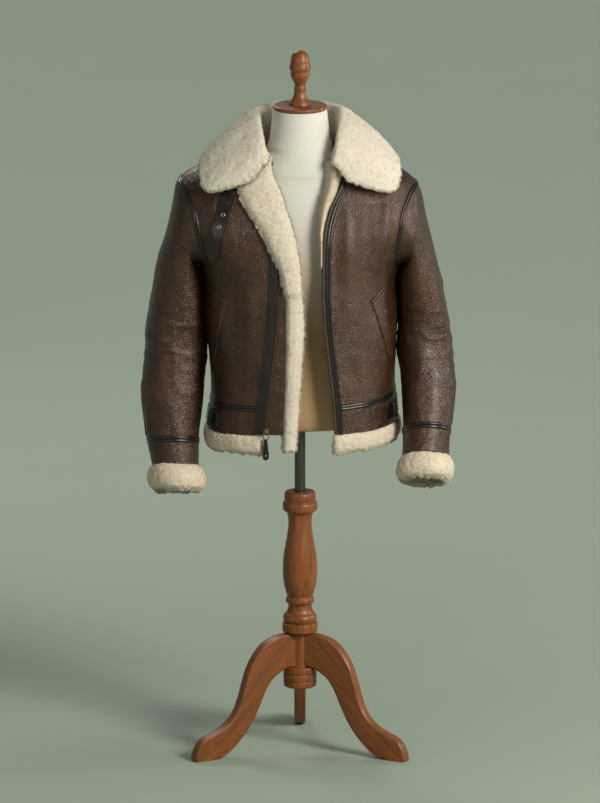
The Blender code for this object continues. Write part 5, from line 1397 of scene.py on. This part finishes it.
def make_side_straps():
    """The waistband's adjusting straps, each through a frame buckle with a bar and a prong."""
    for name, side, start, end, buckle in (("left", 1, 30.0, -16.0, 17.0), ("right", -1, 150.0, 196.0, 163.0)):
        level, angle = np.meshgrid(np.linspace(0.28, 0.76, 21), np.linspace(start, end, 90), indexing="ij")
        node = f"side_strap_{name}"
        outer, normal = laid(node + "_leather", node, "black_leather", 0, angle, level, 0.0006, 0.0028, 0.0014)
        rows, normals = [outer[2], outer[-3]], [normal[2], normal[-3]]
        stitches(f"side_strap_stitches_{name}", rows, normals, 0.0038, 0.0027, 0.0003)
        across, up, normal = coat_axes(buckle, BUCKLE_LEVEL)
        centre = on_coat(buckle, BUCKLE_LEVEL, 0.0010 + 0.0024 + BUCKLE_WIRE + 0.0003)
        wide, high = BUCKLE_HALF
        corners = [(-wide, -high), (wide, -high), (wide, high), (-wide, high)]
        path = [centre + across * a + up * b for a, b in eased(corners, closed=True, rounds=4, sharp=0.0035)]
        put(wire(f"buckle_frame_{name}", path, BUCKLE_WIRE, "gunmetal_and_shaded_nickel"), f"side_buckle_{name}")
        bar = [centre + up * b + normal * 0.0004 for b in np.linspace(-high, high, 9)]
        trim(wire(f"buckle_bar_{name}", bar, FINE_WIRE, "gunmetal_and_shaded_nickel", False))
        prong = []
        for i, a in enumerate(np.linspace(-0.001, wide + 0.0012, 12)):
            prong.append(centre + across * a * -side + normal * (0.0018 + 0.0006 * math.sin(i / 11 * math.pi)))
        trim(wire(f"buckle_prong_{name}", prong, FINE_WIRE, "gunmetal_and_shaded_nickel", False))


def make_zip_pull():
    """The slider and its bridge on the right-hand zip, and the leather pull on its wire link."""
    levels = SLIDER_LEVEL + np.linspace(-SLIDER_HALF, SLIDER_HALF, 25)
    level, across = np.meshgrid(levels, np.linspace(-1, 1, 21), indexing="ij")
    x = -(SLIDER_X + across * (0.0060 - 0.0016 * smooth((SLIDER_LEVEL - level) / SLIDER_HALF)))
    laid("zip_slider_body", "zip_slider", "brass", -1, x, level, 0.0014, 0.0046, 0.0016, False)
    angle = float(angle_at(SLIDER_LEVEL, SLIDER_X))
    face = body_point(angle, SLIDER_LEVEL) + body_normal(angle, SLIDER_LEVEL) * 0.0060
    rings = []
    for t in np.radians(np.linspace(0, 180, 25)):
        out, up = 0.0048 * math.sin(t) ** 0.8, 0.0056 * math.cos(t)
        middle = face + np.array((0, -out - 0.0003, up))
        spoke = unit((0, -math.sin(t), math.cos(t)))
        rings.append([
            middle + np.array((0.0017 * math.cos(v), 0, 0)) + spoke * 0.0007 * math.sin(v) for v in circle(12)
        ])
    put(tube("zip_bridge_arch", rings, "brass"), "zip_bridge")
    hinge = face + np.array((0, -0.0026, -0.0020))
    link = eased(np.array(ZIP_LINK) / 1000, closed=True, rounds=3, sharp=0.002)
    path = [hinge + np.array((a, 0, b)) for a, b in link]
    put(wire("zip_link_wire", path, FINE_WIRE, "brass"), "zip_link", "zip_pull_tab")
    make_pull_tab(hinge + np.array((0, 0, min(b for _, b in ZIP_LINK) / 1000)))


def make_pull_tab(bar):
    """A leather tab folded round the link's lower bar and riveted shut."""
    fold = np.linspace(-60, 240, 25)
    outline = [(0.0029 * math.cos(t), 0.0029 * math.sin(t), 0.0034) for t in np.radians(fold)]
    edge = spline(TAB_EDGE, np.linspace(0, len(TAB_EDGE) - 1, 30))
    for y, rows in ((-0.0016, edge), (0.0016, edge[::-1])):
        outline += [(y, height, wide) for height, wide in rows]
    hole_turns = np.radians(np.concatenate([fold, np.linspace(242, 298, len(outline) - len(fold))]))
    outer, inner = [], []
    shares = np.linspace(-1, 1, 9)
    crown = 1 - 0.22 * np.abs(shares) ** 4
    for (y, z, half), turn in zip(outline, hole_turns):
        hole = np.array((0.0015 * math.cos(turn), 0.0015 * math.sin(turn)))
        outer.append([bar + np.array((share * half, y * c, z)) for share, c in zip(shares, crown)])
        inner.append([bar + np.array((share * 0.0032, *hole)) for share in shares])
    outer, inner = np.swapaxes(np.array(outer), 0, 1), np.swapaxes(np.array(inner), 0, 1)
    obj = wall("zip_pull_leather", outer, inner, "black_leather", ring=True)
    put(obj, "zip_pull", "zip_pull_tab")
    place = bar + np.array((0, -0.0019, -0.0310))
    rings = []
    for height, radius in ((0.0011, 0.0001), (0.0010, 0.0009), (0.0006, 0.0016), (0.0, 0.0019), (-0.0001, 0.0001)):
        rings.append([place + np.array((radius * math.cos(t), -height, radius * math.sin(t))) for t in circle(24)])
    put(tube("pull_rivet_head", rings, "nickel"), "pull_rivet", "zip_pull_tab")


# ---------------------------------------------------------------- camera, light and floor
def look_at(obj, target):
    obj.rotation_euler = (Vector(target) - obj.location).to_track_quat("-Z", "Y").to_euler()


VIEW_MIDDLE, VIEW_HALF, VIEW_TILT, VIEW_FAR = 0.7116, 0.803, 13.0, 40.0  # metres, and the tilt in degrees
FLOOR_HALF = 40
SKY, SKY_STRENGTH = (0.80, 0.86, 0.80, 1), 0.22
LIGHT_AIM = (0, 0, 0.95)
LIGHTS = (  # name, kind, place, degrees or metres across, power, colour
    ("key", "SUN", (3.0, -3.0, 3.9), 20, 1.35, (1.0, 0.97, 0.92)),
    ("softbox_right", "AREA", (2.1, -2.3, 2.1), 1.2, 84, (1.0, 0.98, 0.95)),
    ("softbox_left", "AREA", (-2.4, -2.7, 1.5), 1.3, 9, (0.97, 0.98, 1.0)),
    ("strip_left", "AREA", (-1.0, -3.6, 2.2), 0.7, 9, (1.0, 1.0, 1.0)),
    ("rim", "AREA", (-0.9, 2.2, 2.7), 1.2, 26, (1.0, 0.99, 0.96)),
    ("rim_right", "AREA", (2.6, 0.5, 1.5), 1.0, 20, (1.0, 0.98, 0.95)),
)


def make_studio():
    target, tilt = AXIS + (0, 0, VIEW_MIDDLE), math.radians(VIEW_TILT)
    camera = bpy.data.objects.new("camera", bpy.data.cameras.new("camera"))
    camera.location = target + np.array((0, -math.cos(tilt), math.sin(tilt))) * VIEW_FAR
    camera.data.sensor_fit = "VERTICAL"
    camera.data.angle = 2 * math.atan(VIEW_HALF / VIEW_FAR)
    camera.data.clip_end = 200
    bpy.context.scene.collection.objects.link(camera)
    look_at(camera, target)
    bpy.context.scene.camera = camera
    bpy.context.scene.view_settings.view_transform = "Standard"
    for name, kind, place, size, power, colour in LIGHTS:
        light = bpy.data.objects.new(name, bpy.data.lights.new(name, kind))
        if kind == "SUN":
            light.data.angle = math.radians(size)
        else:
            light.data.shape, light.data.size = "DISK", size
        light.data.energy, light.data.color = power, colour
        light.location = place
        bpy.context.scene.collection.objects.link(light)
        look_at(light, LIGHT_AIM)
    world = bpy.data.worlds.new("studio")
    world.use_nodes = True
    world.node_tree.nodes["Background"].inputs[0].default_value = SKY
    world.node_tree.nodes["Background"].inputs[1].default_value = SKY_STRENGTH
    bpy.context.scene.world = world
    corners = [(a * FLOOR_HALF, b * FLOOR_HALF, 0) for a, b in ((-1, -1), (1, -1), (1, 1), (-1, 1))]
    mesh_object("floor", corners, [[(0, 1, 2, 3)]], ("floor",), smooth_angle=0)


make_materials()
make_panels()
make_armhole_tapes()
make_front_edges()
make_front_fur()
make_hem_fur()
make_collar()
make_sleeves()
make_form()
make_stand()
make_pockets()
make_throat_strap()
make_side_straps()
make_zip_pull()
make_studio()
